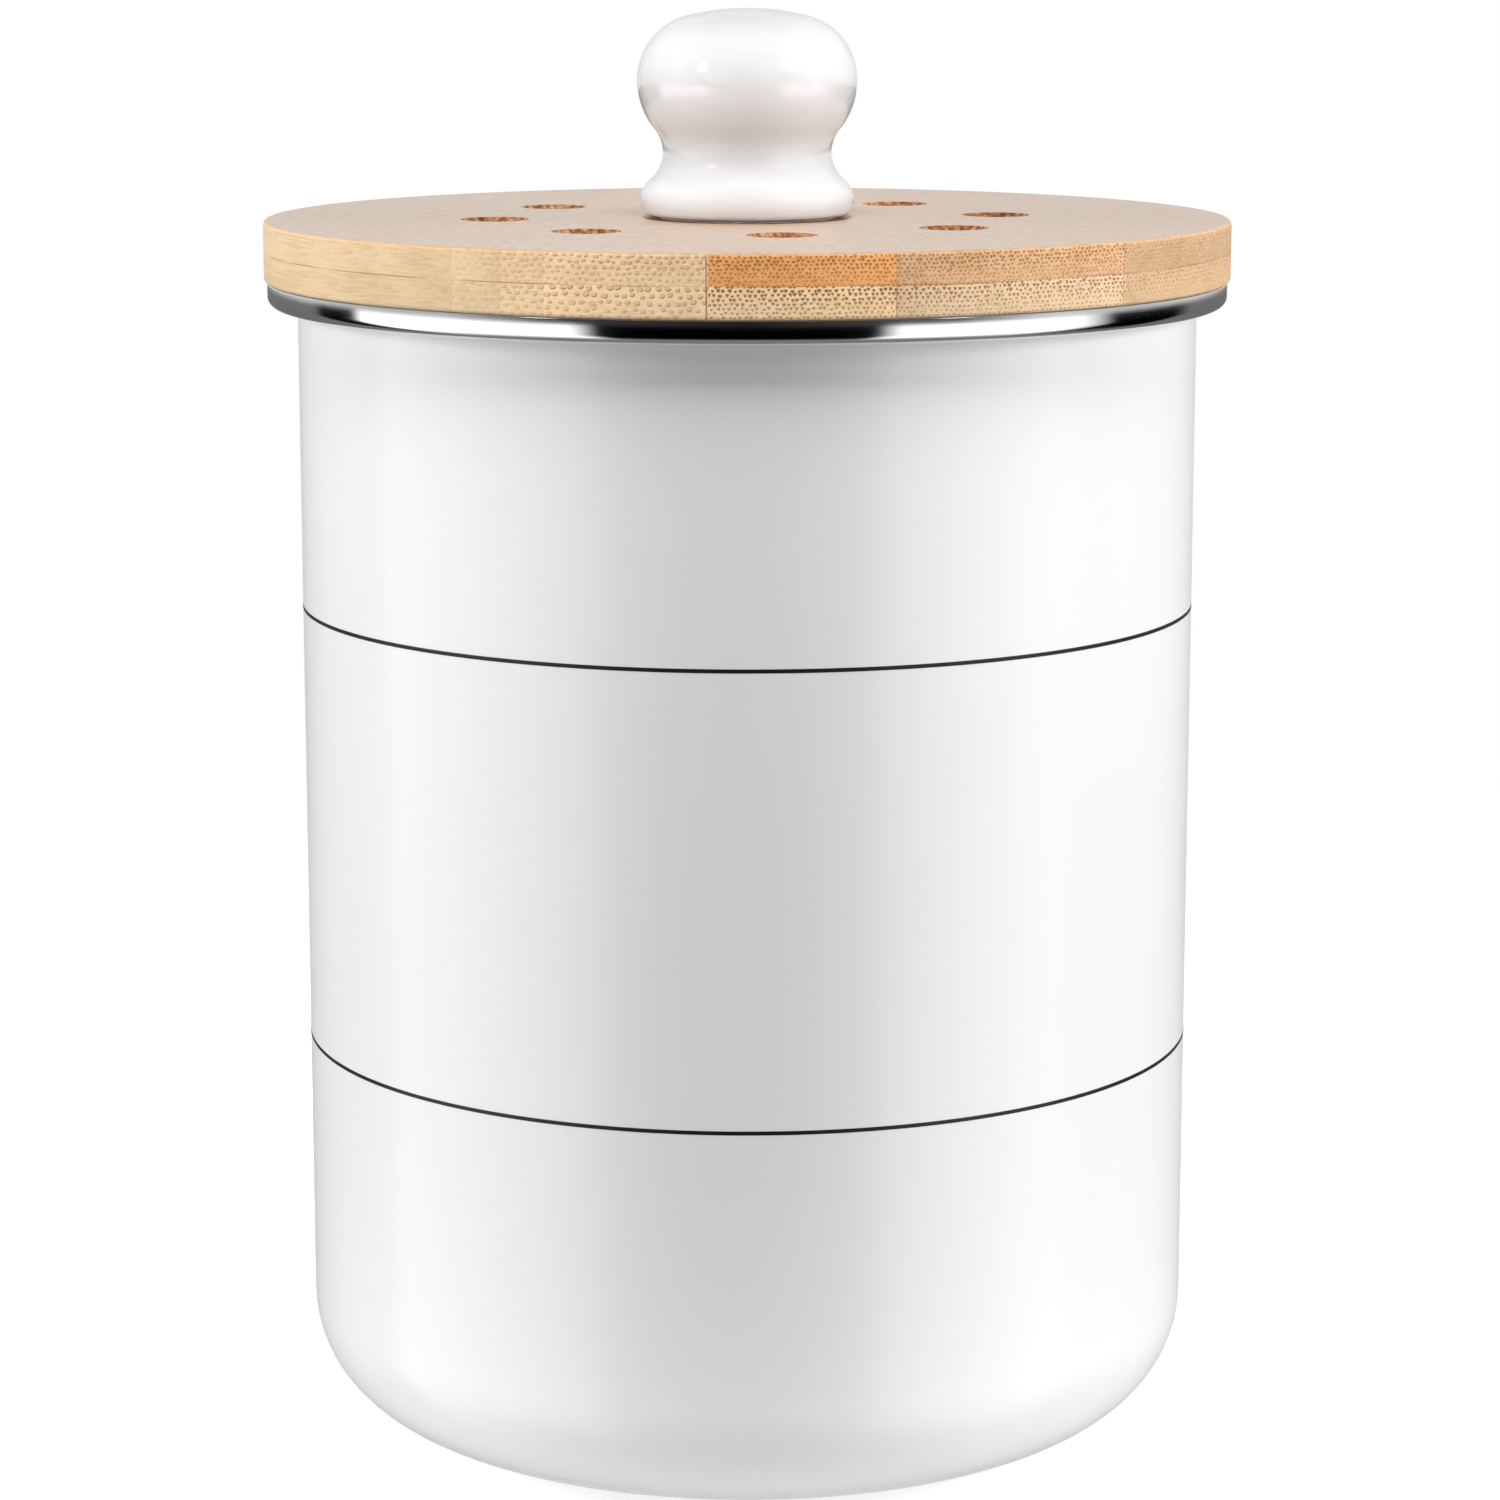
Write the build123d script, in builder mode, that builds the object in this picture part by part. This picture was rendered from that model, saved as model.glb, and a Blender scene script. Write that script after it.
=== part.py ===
"""Kitchen food waste caddy: coated steel bin, polished rim band, vented bamboo lid with a glazed knob,
a lift-out inner bucket with a folding bail, and a charcoal filter in a push-fit cover under the lid.

Millimetres, +Z up, origin at the centre of the base where it stands. The front is towards -Y.
"""

import os
from math import cos, degrees, hypot, pi, radians, sin

from build123d import *

os.makedirs("parts", exist_ok=True)

# Bin: a drawn steel can, coated white, its mouth folded out into a flange
bin_radius = 89.0
bin_wall = 0.8
mouth_height = 229.9
base_corner = 24.0
base_land = 14.0
base_panel_rise = 1.6
base_panel_slope = 3.0
base_panel_bend = 1.0
flange_bend = 1.0
flange_hem_bend = 0.4

# Rim band: polished sheet folded round the flange
band_overhang = 5.9
band_height = 4.8
band_sheet = 0.5
band_skirt = 3.8
band_mouth_round = 1.2
band_top_round = 1.0
band_lower_round = 1.95
fold_gap = 0.1

# Inner bucket: a moulded, tapered pail that stands on the bin's base
bucket_wall = 1.8
bucket_headroom = 8.0
bucket_taper = 14.0
bucket_corner = 10.0
bucket_lip_width = 1.9
bucket_lip_bend = 0.5
bucket_lip_round = 0.6
bucket_foot_height = 2.4
bucket_foot_width = 3.0
bucket_foot_inset = 9.0

# Bail: a moulded strap that folds down outside the bucket's wall
bail_pivot_drop = 10.0
bail_width = 8.0
bail_thickness = 2.2
bail_eye_radius = 5.5
bail_pin_radius = 2.0
bail_pin_clearance = 0.08
bail_pin_inset = 0.5
bail_boss_wall = 4.4
bail_boss_gap = 0.6
bail_boss_root = 0.6
bail_grip_width = 12.0
bail_grip_thickness = 3.3
bail_grip_angle = 70.0
bail_groove_count = 9
bail_groove_width = 2.4
bail_groove_depth = 0.4
bail_mouth_gap = 1.0
bail_lip_gap = 1.4
bail_hang_angle = 17.0
bail_back_angle = 90.0

# Lid: two bamboo boards glued flat, and a third disc that drops into the mouth
lid_overhang = 0.6
upper_board_thickness = 6.3
lower_board_thickness = 5.6
lid_edge_round = 0.8
plug_thickness = 8.0
plug_gap = 3.6
plug_edge_round = 0.8
vent_count = 8
vent_radius = 6.0
vent_ring_radius = 50.0
vent_angle = -82.5
vent_edge = 0.4

# Seal: a silicone ring with two soft fins, in a groove round the plug
seal_height = 4.4
seal_depth = 2.0
seal_fin = 0.9
seal_fin_rise = 0.5
seal_gap = 0.3
seal_top_drop = 1.4
seal_groove_gap = 0.05

# Knob: a glazed ceramic turning, wide foot, drawn-in neck and round head
knob_height = 40.5
knob_head_radius = 21.75
knob_head_share = 0.6543
knob_shoulder_share = 0.3185
knob_under_share = 0.3778
knob_neck_radius = 16.7
knob_neck_share = 0.3062
knob_foot_radius = 21.1
knob_foot_height = 3.1
knob_foot_round = 1.0
knob_lift = 0.4
pad_radius = 17.5
pad_thickness = 1.0
pad_gap = 0.15

# Knob fixing: a machine screw up through the lid into a brass insert
screw_radius = 2.45
screw_length = 32.0
screw_head_radius = 4.75
screw_head_height = 3.3
screw_head_round = 1.2
screw_recess_width = 1.0
screw_recess_length = 5.0
screw_recess_depth = 1.8
screw_hole_gap = 0.3
screw_end_room = 3.0
washer_radius = 6.0
washer_thickness = 1.0
counterbore_depth = 5.0
counterbore_gap = 1.0
insert_radius = 4.45
insert_length = 16.0
insert_bore_gap = 0.05
insert_mouth_inset = 1.5

# Charcoal filter, the ring that carries it and its push-fit cover
filter_margin = 2.0
filter_thickness = 7.0
filter_edge_round = 1.0
filter_side_gap = 0.6
filter_floor_gap = 0.3
cover_wall = 1.6
cover_floor = 1.8
cover_wall_height = 8.0
cover_fit = 0.3
cover_slot_width = 3.0
cover_slot_bar = 2.2
cover_slot_spacing = 13.5
cover_row_first = 12.0
cover_row_pitch = 8.0
cover_tab_radius = 9.0
cover_tab_reach = 3.0
ring_wall = 3.0
ring_height = 11.0
ring_flange_width = 8.5
ring_flange_thickness = 2.0
ring_edge_round = 0.8
ring_screw_count = 4
ring_screw_turn = 45.0
ring_screw_radius = 1.5
ring_screw_head_radius = 2.9
ring_screw_head_height = 1.8
ring_screw_length = 8.0
ring_screw_gap = 0.1
ring_screw_slot = 0.8
ring_screw_slot_depth = 0.9

# Places that follow from those sizes
band_radius = bin_radius + band_overhang
lid_radius = band_radius + lid_overhang
mouth_radius = bin_radius - bin_wall - fold_gap - band_sheet
plug_bottom = mouth_height - plug_thickness
plug_radius = mouth_radius - plug_gap
lid_seam = mouth_height + lower_board_thickness
lid_top = lid_seam + upper_board_thickness

bail_outer = mouth_radius - bail_mouth_gap
bail_inner = bail_outer - bail_grip_thickness
lip_radius = bail_inner - bail_lip_gap
bucket_top_radius = lip_radius - bucket_lip_width
bucket_base_radius = bucket_top_radius - bucket_taper
bucket_top = plug_bottom - bucket_headroom
bucket_bottom = bin_wall
bucket_underside = bucket_bottom + bucket_foot_height
pivot_height = bucket_top - bail_pivot_drop

filter_radius = vent_ring_radius + vent_radius + filter_margin
cover_radius = filter_radius + filter_side_gap + cover_wall
ring_inner = cover_radius + cover_fit
ring_outer = ring_inner + ring_wall
ring_bottom = plug_bottom - ring_height


def bucket_wall_radius(height):
    """Outside radius of the bucket's tapered wall at a height above the table."""
    share = (height - bucket_underside) / (bucket_top - bucket_wall - bucket_underside)
    return bucket_base_radius + share * bucket_taper


def toward(start, end, distance):
    """The point at a distance from start on the line to end."""
    length = hypot(end[0] - start[0], end[1] - start[1])
    return tuple(a + (b - a) * distance / length for a, b in zip(start, end))


# Bin shell: the path is the outside of the sheet, from the base's centre to the flange's hem
base_panel_radius = bin_radius - base_corner - base_land - base_panel_slope
flange_top = mouth_height - band_sheet - fold_gap
flange_radius = band_radius - band_sheet - fold_gap
band_bottom = mouth_height - band_height
hem_bottom = band_bottom + band_lower_round
shell_path = (
    (0, base_panel_rise),
    (base_panel_radius, base_panel_rise),
    (base_panel_radius + base_panel_slope, 0),
    (bin_radius, 0),
    (bin_radius, flange_top - bin_wall),
    (flange_radius - bin_wall, flange_top - bin_wall),
    (flange_radius - bin_wall, hem_bottom),
)
shell_bends = (base_panel_bend, base_panel_bend, base_corner, flange_bend, flange_hem_bend)

with BuildPart() as bin_shell:
    with BuildSketch(Plane.XZ):
        with BuildLine():
            FilletPolyline(*shell_path, radius=shell_bends)
            offset(amount=bin_wall, side=Side.LEFT)
        make_face()
    revolve(axis=Axis.Z)
bin_shell.part.label = "bin_shell"

# Rim band: the path is its polished face, from inside the mouth over the top and under the flange
band_path = (
    (mouth_radius, mouth_height - band_skirt),
    (mouth_radius, mouth_height),
    (band_radius, mouth_height),
    (band_radius, band_bottom),
    (bin_radius + fold_gap, band_bottom),
)
band_bends = (band_mouth_round, band_top_round, band_lower_round)

with BuildPart() as rim_band:
    with BuildSketch(Plane.XZ):
        with BuildLine():
            FilletPolyline(*band_path, radius=band_bends)
            offset(amount=band_sheet, side=Side.RIGHT)
        make_face()
    revolve(axis=Axis.Z)
rim_band.part.label = "rim_band"

# Inner bucket: wall and lip in one path, then the foot under it and a boss for each end of the bail
bucket_path = (
    (0, bucket_underside),
    (bucket_base_radius, bucket_underside),
    (bucket_top_radius, bucket_top - bucket_wall),
    (lip_radius, bucket_top - bucket_wall),
)
foot_radius = bucket_base_radius - bucket_foot_inset
boss_face = bail_inner - bail_boss_gap
boss_root = bucket_wall_radius(pivot_height) - bucket_wall + bail_boss_root
boss_radius = bail_pin_radius + bail_boss_wall

with BuildPart() as inner_bucket:
    with BuildSketch(Plane.XZ):
        with BuildLine():
            FilletPolyline(*bucket_path, radius=(bucket_corner, bucket_lip_bend))
            offset(amount=bucket_wall, side=Side.LEFT)
        make_face()
    revolve(axis=Axis.Z)
    lip_edges = inner_bucket.edges().filter_by(GeomType.CIRCLE).group_by(SortBy.RADIUS)[-1]
    fillet(lip_edges, radius=bucket_lip_round)
    with BuildSketch(Plane.XY.offset(bucket_bottom)):
        Circle(foot_radius)
        Circle(foot_radius - bucket_foot_width, mode=Mode.SUBTRACT)
    extrude(amount=bucket_foot_height + bucket_wall / 2)
    for side in (-1, 1):
        with BuildSketch(Plane((side * boss_root, 0, pivot_height), z_dir=(side, 0, 0))):
            Circle(boss_radius)
        extrude(amount=boss_face - boss_root)
    with BuildSketch(Plane((0, 0, pivot_height), z_dir=(1, 0, 0))):
        Circle(bail_pin_radius + bail_pin_clearance)
    extrude(amount=boss_face, both=True, mode=Mode.SUBTRACT)
inner_bucket.part.label = "inner_bucket"

# Bail: drawn flat in its own plane, which hangs a little below level behind the bucket
hang = radians(bail_hang_angle)
bail_plane = Plane((0, 0, pivot_height), x_dir=(1, 0, 0), z_dir=(0, sin(hang), cos(hang)))
strap_outer = bail_inner + bail_thickness
pin_tip = bucket_wall_radius(pivot_height) - bucket_wall + bail_pin_inset
half_grip = bail_grip_angle / 2
half_grooves = half_grip * (bail_groove_count - 1) / (bail_groove_count + 1)
grip_start = bail_back_angle - half_grip
grip_end = bail_back_angle + half_grip

with BuildPart() as bucket_bail:
    with BuildSketch(bail_plane):
        Circle(strap_outer)
        Circle(bail_inner, mode=Mode.SUBTRACT)
        Rectangle(2 * strap_outer, strap_outer, align=(Align.CENTER, Align.MAX), mode=Mode.SUBTRACT)
    extrude(amount=bail_width / 2, both=True)
    with BuildSketch(bail_plane):
        with BuildLine():
            CenterArc((0, 0), bail_outer, grip_start, bail_grip_angle)
            CenterArc((0, 0), bail_inner, grip_start, bail_grip_angle)
            for turn in (grip_start, grip_end):
                Line(
                    (bail_inner * cos(radians(turn)), bail_inner * sin(radians(turn))),
                    (bail_outer * cos(radians(turn)), bail_outer * sin(radians(turn))),
                )
        make_face()
    extrude(amount=bail_grip_width / 2, both=True)
    for side in (-1, 1):
        with BuildSketch(Plane((side * bail_inner, 0, pivot_height), z_dir=(side, 0, 0))):
            Circle(bail_eye_radius)
        extrude(amount=bail_thickness)
        with BuildSketch(Plane((side * pin_tip, 0, pivot_height), z_dir=(side, 0, 0))):
            Circle(bail_pin_radius)
        extrude(amount=bail_inner - pin_tip + bail_thickness / 2)
    with BuildSketch(bail_plane):
        with PolarLocations(
            bail_outer,
            bail_groove_count,
            bail_back_angle - half_grooves,
            2 * half_grooves,
            endpoint=True,
        ):
            Rectangle(2 * bail_groove_depth, bail_groove_width)
    extrude(amount=bail_grip_width, both=True, mode=Mode.SUBTRACT)
bucket_bail.part.label = "bucket_bail"

# Lid boards: two discs face to face, with the ring of vents through both
screw_hole = screw_radius + screw_hole_gap

with BuildPart() as lid_lower_board:
    with BuildSketch(Plane.XY.offset(mouth_height)):
        Circle(lid_radius)
        Circle(screw_hole, mode=Mode.SUBTRACT)
        with PolarLocations(vent_ring_radius, vent_count, start_angle=vent_angle):
            Circle(vent_radius, mode=Mode.SUBTRACT)
    extrude(amount=lower_board_thickness)
    fillet(lid_lower_board.faces().sort_by(Axis.Z)[0].outer_wire().edges(), radius=lid_edge_round)
lid_lower_board.part.label = "lid_lower_board"

with BuildPart() as lid_upper_board:
    with BuildSketch(Plane.XY.offset(lid_seam)):
        Circle(lid_radius)
        Circle(screw_hole, mode=Mode.SUBTRACT)
        with PolarLocations(vent_ring_radius, vent_count, start_angle=vent_angle):
            Circle(vent_radius, mode=Mode.SUBTRACT)
    extrude(amount=upper_board_thickness)
    top_face = lid_upper_board.faces().sort_by(Axis.Z)[-1]
    vent_rims = top_face.inner_wires().filter_by(lambda wire: wire.length > 4 * vent_radius)
    fillet(top_face.outer_wire().edges(), radius=lid_edge_round)
    chamfer(vent_rims.edges(), length=vent_edge)
lid_upper_board.part.label = "lid_upper_board"

# Lid plug: drops into the mouth, grooved for the seal and counterbored for the knob's screw
seal_top = mouth_height - seal_top_drop
groove_top = seal_top + seal_groove_gap
groove_bottom = seal_top - seal_height - seal_groove_gap
groove_radius = plug_radius - seal_depth - seal_groove_gap
counterbore_radius = washer_radius + counterbore_gap
screw_seat = plug_bottom + counterbore_depth
ring_screw_circle = ring_outer + ring_flange_width / 2
pilot_depth = ring_screw_length - ring_flange_thickness + ring_screw_gap

with BuildPart() as lid_plug:
    with BuildSketch(Plane.XY.offset(plug_bottom)):
        Circle(plug_radius)
        Circle(screw_hole, mode=Mode.SUBTRACT)
        with PolarLocations(vent_ring_radius, vent_count, start_angle=vent_angle):
            Circle(vent_radius, mode=Mode.SUBTRACT)
    extrude(amount=plug_thickness)
    with BuildSketch(Plane.XY.offset(plug_bottom)):
        Circle(counterbore_radius)
    extrude(amount=counterbore_depth, mode=Mode.SUBTRACT)
    with BuildSketch(Plane.XY.offset(groove_bottom)):
        Circle(plug_radius)
        Circle(groove_radius, mode=Mode.SUBTRACT)
    extrude(amount=groove_top - groove_bottom, mode=Mode.SUBTRACT)
    with BuildSketch(Plane.XY.offset(plug_bottom)):
        with PolarLocations(ring_screw_circle, ring_screw_count, start_angle=ring_screw_turn):
            Circle(ring_screw_radius + ring_screw_gap)
    extrude(amount=pilot_depth, mode=Mode.SUBTRACT)
    fillet(lid_plug.faces().sort_by(Axis.Z)[0].outer_wire().edges(), radius=plug_edge_round)
lid_plug.part.label = "lid_plug"

# Seal: the body fills the groove and two fins reach out and up to just short of the band's skirt
seal_reach = mouth_radius - seal_gap
seal_inner = plug_radius - seal_depth
fin_roots = (seal_top - seal_height + seal_fin_rise, seal_top - seal_height / 2 + seal_fin_rise)

with BuildPart() as lid_seal:
    with BuildSketch(Plane.XZ):
        with BuildLine():
            Polyline(
                (seal_inner, seal_top),
                (seal_inner, seal_top - seal_height),
                (plug_radius, seal_top - seal_height),
                (plug_radius, seal_top),
                close=True,
            )
        make_face()
        for root in fin_roots:
            with BuildLine():
                Polyline(
                    (seal_inner + seal_depth / 2, root),
                    (plug_radius, root),
                    (seal_reach, root + seal_fin_rise),
                    (seal_reach, root + seal_fin_rise + seal_fin / 2),
                    (plug_radius, root + seal_fin),
                    (seal_inner + seal_depth / 2, root + seal_fin),
                    close=True,
                )
            make_face()
    revolve(axis=Axis.Z)
lid_seal.part.label = "lid_seal"

# Knob: five arcs that meet in line; the neck, foot and crown arcs follow from the widths and heights
knob_base = lid_top + knob_lift
knob_head_height = knob_head_share * knob_height
knob_neck_height = knob_neck_share * knob_height
knob_shoulder_arc = knob_shoulder_share * knob_height
knob_under_arc = knob_under_share * knob_height
head_centre = (knob_head_radius - knob_shoulder_arc, knob_head_height)
under_centre = (knob_head_radius - knob_under_arc, knob_head_height)
crown_rise = knob_height - knob_head_height
crown_arc = (head_centre[0] ** 2 + crown_rise**2 - knob_shoulder_arc**2) / (
    2 * (crown_rise - knob_shoulder_arc)
)
crown_centre = (0, knob_height - crown_arc)

neck_offset = knob_neck_radius - under_centre[0]
neck_drop = knob_head_height - knob_neck_height
neck_arc = (neck_offset**2 + neck_drop**2 - knob_under_arc**2) / (
    2 * (knob_under_arc - neck_offset)
)
neck_centre = (knob_neck_radius + neck_arc, knob_neck_height)

foot_offset = neck_centre[0] - knob_foot_radius
foot_drop = knob_neck_height - knob_foot_height
foot_arc = (foot_offset**2 + foot_drop**2 - neck_arc**2) / (2 * (neck_arc - foot_offset))
foot_centre = (knob_foot_radius - foot_arc, knob_foot_height)
foot_edge = foot_centre[0] + (foot_arc**2 - knob_foot_height**2) ** 0.5

crown_to_shoulder = toward(crown_centre, head_centre, crown_arc)
head_widest = (knob_head_radius, knob_head_height)
under_to_neck = toward(under_centre, neck_centre, knob_under_arc)
neck_to_foot = toward(neck_centre, foot_centre, neck_arc)


def up_to_knob(point):
    """A point of the knob's outline, raised to where the knob stands on the lid."""
    return (point[0], point[1] + knob_base)


def knob_curve(start, end, centre, size, inward=False):
    """The short arc between two points of the knob's outline, bulging away from its centre."""
    middle = ((start[0] + end[0]) / 2, (start[1] + end[1]) / 2)
    crest = toward(centre, middle, size)
    ThreePointArc(up_to_knob(start), up_to_knob(crest), up_to_knob(end))


insert_bore = insert_radius + insert_bore_gap
insert_top = insert_mouth_inset + insert_length
pad_recess = pad_thickness - knob_lift

with BuildPart() as knob:
    with BuildSketch(Plane.XZ):
        with BuildLine():
            knob_curve((0, knob_height), crown_to_shoulder, crown_centre, crown_arc)
            knob_curve(crown_to_shoulder, head_widest, head_centre, knob_shoulder_arc)
            knob_curve(head_widest, under_to_neck, under_centre, knob_under_arc)
            knob_curve(under_to_neck, neck_to_foot, neck_centre, neck_arc)
            knob_curve(neck_to_foot, (foot_edge, 0), foot_centre, foot_arc)
            Polyline(up_to_knob((foot_edge, 0)), up_to_knob((0, 0)), up_to_knob((0, knob_height)))
        make_face()
    revolve(axis=Axis.Z)
    fillet(knob.faces().sort_by(Axis.Z)[0].outer_wire().edges(), radius=knob_foot_round)
    with BuildSketch(Plane.XY.offset(knob_base)):
        Circle(pad_radius + pad_gap)
    extrude(amount=pad_recess, mode=Mode.SUBTRACT)
    with BuildSketch(Plane.XY.offset(knob_base)):
        Circle(insert_bore)
    extrude(amount=insert_top + screw_end_room, mode=Mode.SUBTRACT)
knob.part.label = "knob"

# Pad: a soft washer in the knob's foot, which keeps the glaze off the wood
with BuildPart() as knob_pad:
    with BuildSketch(Plane.XY.offset(lid_top)):
        Circle(pad_radius)
        Circle(insert_bore, mode=Mode.SUBTRACT)
    extrude(amount=pad_thickness)
knob_pad.part.label = "knob_pad"

# Insert: a brass sleeve set in the knob, which takes the screw
with BuildPart() as knob_insert:
    with BuildSketch(Plane.XY.offset(knob_base + insert_mouth_inset)):
        Circle(insert_radius)
        Circle(screw_radius + insert_bore_gap, mode=Mode.SUBTRACT)
    extrude(amount=insert_length)
knob_insert.part.label = "knob_insert"

# Washer and screw under the lid
with BuildPart() as knob_washer:
    with BuildSketch(Plane.XY.offset(screw_seat - washer_thickness)):
        Circle(washer_radius)
        Circle(screw_hole, mode=Mode.SUBTRACT)
    extrude(amount=washer_thickness)
knob_washer.part.label = "knob_washer"

head_top = screw_seat - washer_thickness
head_bottom = head_top - screw_head_height

with BuildPart() as knob_screw:
    with BuildSketch(Plane.XY.offset(head_bottom)):
        Circle(screw_head_radius)
    extrude(amount=screw_head_height)
    fillet(knob_screw.faces().sort_by(Axis.Z)[0].outer_wire().edges(), radius=screw_head_round)
    with BuildSketch(Plane.XY.offset(head_top)):
        Circle(screw_radius)
    extrude(amount=screw_length)
    with BuildSketch(Plane.XY.offset(head_bottom)):
        Rectangle(screw_recess_length, screw_recess_width)
        Rectangle(screw_recess_width, screw_recess_length)
    extrude(amount=screw_recess_depth, mode=Mode.SUBTRACT)
knob_screw.part.label = "knob_screw"

# Filter ring: screwed flat to the plug, open below for the cover
with BuildPart() as filter_ring:
    with BuildSketch(Plane.XY.offset(ring_bottom)):
        Circle(ring_outer)
    extrude(amount=ring_height)
    with BuildSketch(Plane.XY.offset(plug_bottom - ring_flange_thickness)):
        Circle(ring_outer + ring_flange_width)
    extrude(amount=ring_flange_thickness)
    fillet(filter_ring.faces().sort_by(Axis.Z)[0].outer_wire().edges(), radius=ring_edge_round)
    with BuildSketch(Plane.XY.offset(ring_bottom)):
        Circle(ring_inner)
        with PolarLocations(ring_screw_circle, ring_screw_count, start_angle=ring_screw_turn):
            Circle(ring_screw_radius + ring_screw_gap)
    extrude(amount=ring_height, mode=Mode.SUBTRACT)
filter_ring.part.label = "filter_ring"

# Four small screws, one node, through the ring's flange into the plug
screw_underside = plug_bottom - ring_flange_thickness - ring_screw_head_height

with BuildPart() as filter_ring_screws:
    with BuildSketch(Plane.XY.offset(screw_underside)):
        with PolarLocations(ring_screw_circle, ring_screw_count, start_angle=ring_screw_turn):
            Circle(ring_screw_head_radius)
    extrude(amount=ring_screw_head_height)
    fillet(
        filter_ring_screws.faces().filter_by(Plane.XY).group_by(Axis.Z)[0].edges(),
        radius=ring_screw_head_height / 2,
    )
    with BuildSketch(Plane.XY.offset(screw_underside + ring_screw_head_height)):
        with PolarLocations(ring_screw_circle, ring_screw_count, start_angle=ring_screw_turn):
            Circle(ring_screw_radius)
    extrude(amount=ring_screw_length)
    with BuildSketch(Plane.XY.offset(screw_underside)):
        with PolarLocations(ring_screw_circle, ring_screw_count, start_angle=ring_screw_turn):
            Rectangle(ring_screw_slot, 3 * ring_screw_radius)
            Rectangle(3 * ring_screw_radius, ring_screw_slot)
    extrude(amount=ring_screw_slot_depth, mode=Mode.SUBTRACT)
filter_ring_screws.part.label = "filter_ring_screws"

# Filter cover: a shallow cup with slots in its floor, pushed up inside the ring
cover_bottom = ring_bottom - cover_floor
tab_centre = ring_outer - cover_tab_radius + cover_tab_reach
row_room = filter_radius - cover_slot_width - cover_row_first
row_count = 1 + int(row_room / cover_row_pitch)

with BuildPart() as filter_cover:
    with BuildSketch(Plane.XY.offset(cover_bottom)):
        Circle(ring_outer)
        for side in (-1, 1):
            with Locations((side * tab_centre, 0)):
                Circle(cover_tab_radius)
    extrude(amount=cover_floor)
    fillet(
        filter_cover.faces().sort_by(Axis.Z)[0].outer_wire().edges(),
        radius=cover_floor / 3,
    )
    with BuildSketch(Plane.XY.offset(ring_bottom)):
        Circle(cover_radius)
        Circle(cover_radius - cover_wall, mode=Mode.SUBTRACT)
    extrude(amount=cover_wall_height)
    with BuildSketch(Plane.XY.offset(cover_bottom)):
        for row in range(row_count):
            row_radius = cover_row_first + row * cover_row_pitch
            slot_count = int(2 * pi * row_radius / cover_slot_spacing)
            slot_step = 360 / slot_count
            slot_angle = slot_step - degrees((cover_slot_width + cover_slot_bar) / row_radius)
            for number in range(slot_count):
                middle_line = CenterArc(
                    (0, 0), row_radius, number * slot_step, slot_angle, mode=Mode.PRIVATE
                )
                SlotArc(middle_line, cover_slot_width)
    extrude(amount=cover_floor, mode=Mode.SUBTRACT)
filter_cover.part.label = "filter_cover"

# Charcoal filter: a soft felt disc that lies in the cover
with BuildPart() as charcoal_filter:
    with BuildSketch(Plane.XY.offset(ring_bottom + filter_floor_gap)):
        Circle(filter_radius)
    extrude(amount=filter_thickness)
    fillet(charcoal_filter.edges(), radius=filter_edge_round)
charcoal_filter.part.label = "charcoal_filter"

for piece in (
    bin_shell,
    rim_band,
    inner_bucket,
    bucket_bail,
    lid_lower_board,
    lid_upper_board,
    lid_plug,
    lid_seal,
    knob,
    knob_pad,
    knob_insert,
    knob_washer,
    knob_screw,
    filter_ring,
    filter_ring_screws,
    filter_cover,
    charcoal_filter,
):
    export_step(piece.part, f"parts/{piece.part.label}.step")
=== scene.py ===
"""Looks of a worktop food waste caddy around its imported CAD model.

A coated steel bin with two pinstripes and a polished rim, a vented bamboo lid with a glazed
knob, a lift-out bucket with a folding bail, and a charcoal filter in a cup under the lid.
Sizes are in millimetres in the classes and become metres where a mesh is written. +Z is up
and the front faces -Y.
"""

import logging
from collections.abc import Sequence
from dataclasses import dataclass, field
from enum import Enum, IntEnum
from math import pi, radians, sqrt

import bmesh
import bpy
import numpy as np
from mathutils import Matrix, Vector

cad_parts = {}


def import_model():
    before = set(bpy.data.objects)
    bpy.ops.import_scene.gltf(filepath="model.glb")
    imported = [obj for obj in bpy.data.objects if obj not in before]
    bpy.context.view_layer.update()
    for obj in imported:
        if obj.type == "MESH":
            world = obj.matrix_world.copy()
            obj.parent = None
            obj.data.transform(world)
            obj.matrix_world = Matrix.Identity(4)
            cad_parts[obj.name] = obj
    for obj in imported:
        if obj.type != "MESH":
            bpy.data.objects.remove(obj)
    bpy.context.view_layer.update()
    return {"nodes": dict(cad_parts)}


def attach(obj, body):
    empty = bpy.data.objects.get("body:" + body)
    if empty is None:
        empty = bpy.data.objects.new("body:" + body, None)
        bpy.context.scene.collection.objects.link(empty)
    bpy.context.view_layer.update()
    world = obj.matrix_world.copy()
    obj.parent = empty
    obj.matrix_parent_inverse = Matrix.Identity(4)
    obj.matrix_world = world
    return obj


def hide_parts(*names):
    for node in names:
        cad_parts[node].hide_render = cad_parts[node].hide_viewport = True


log = logging.getLogger("caddy")

MM = 0.001
WELD_DIGITS = 7
CREASE = 35.0

Point = Pair = tuple[float, float]
Colour = Triple = tuple[float, float, float]
Mesh = bpy.types.Mesh
Material = bpy.types.Material
Socket = bpy.types.NodeSocket
Nodes = dict[str, bpy.types.Object]
Traits = tuple[tuple[str, object], ...]


# Paths and surfaces


def unit(vector: np.ndarray) -> np.ndarray:
    """The vector divided by its length."""
    return vector / np.linalg.norm(vector)


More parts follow.
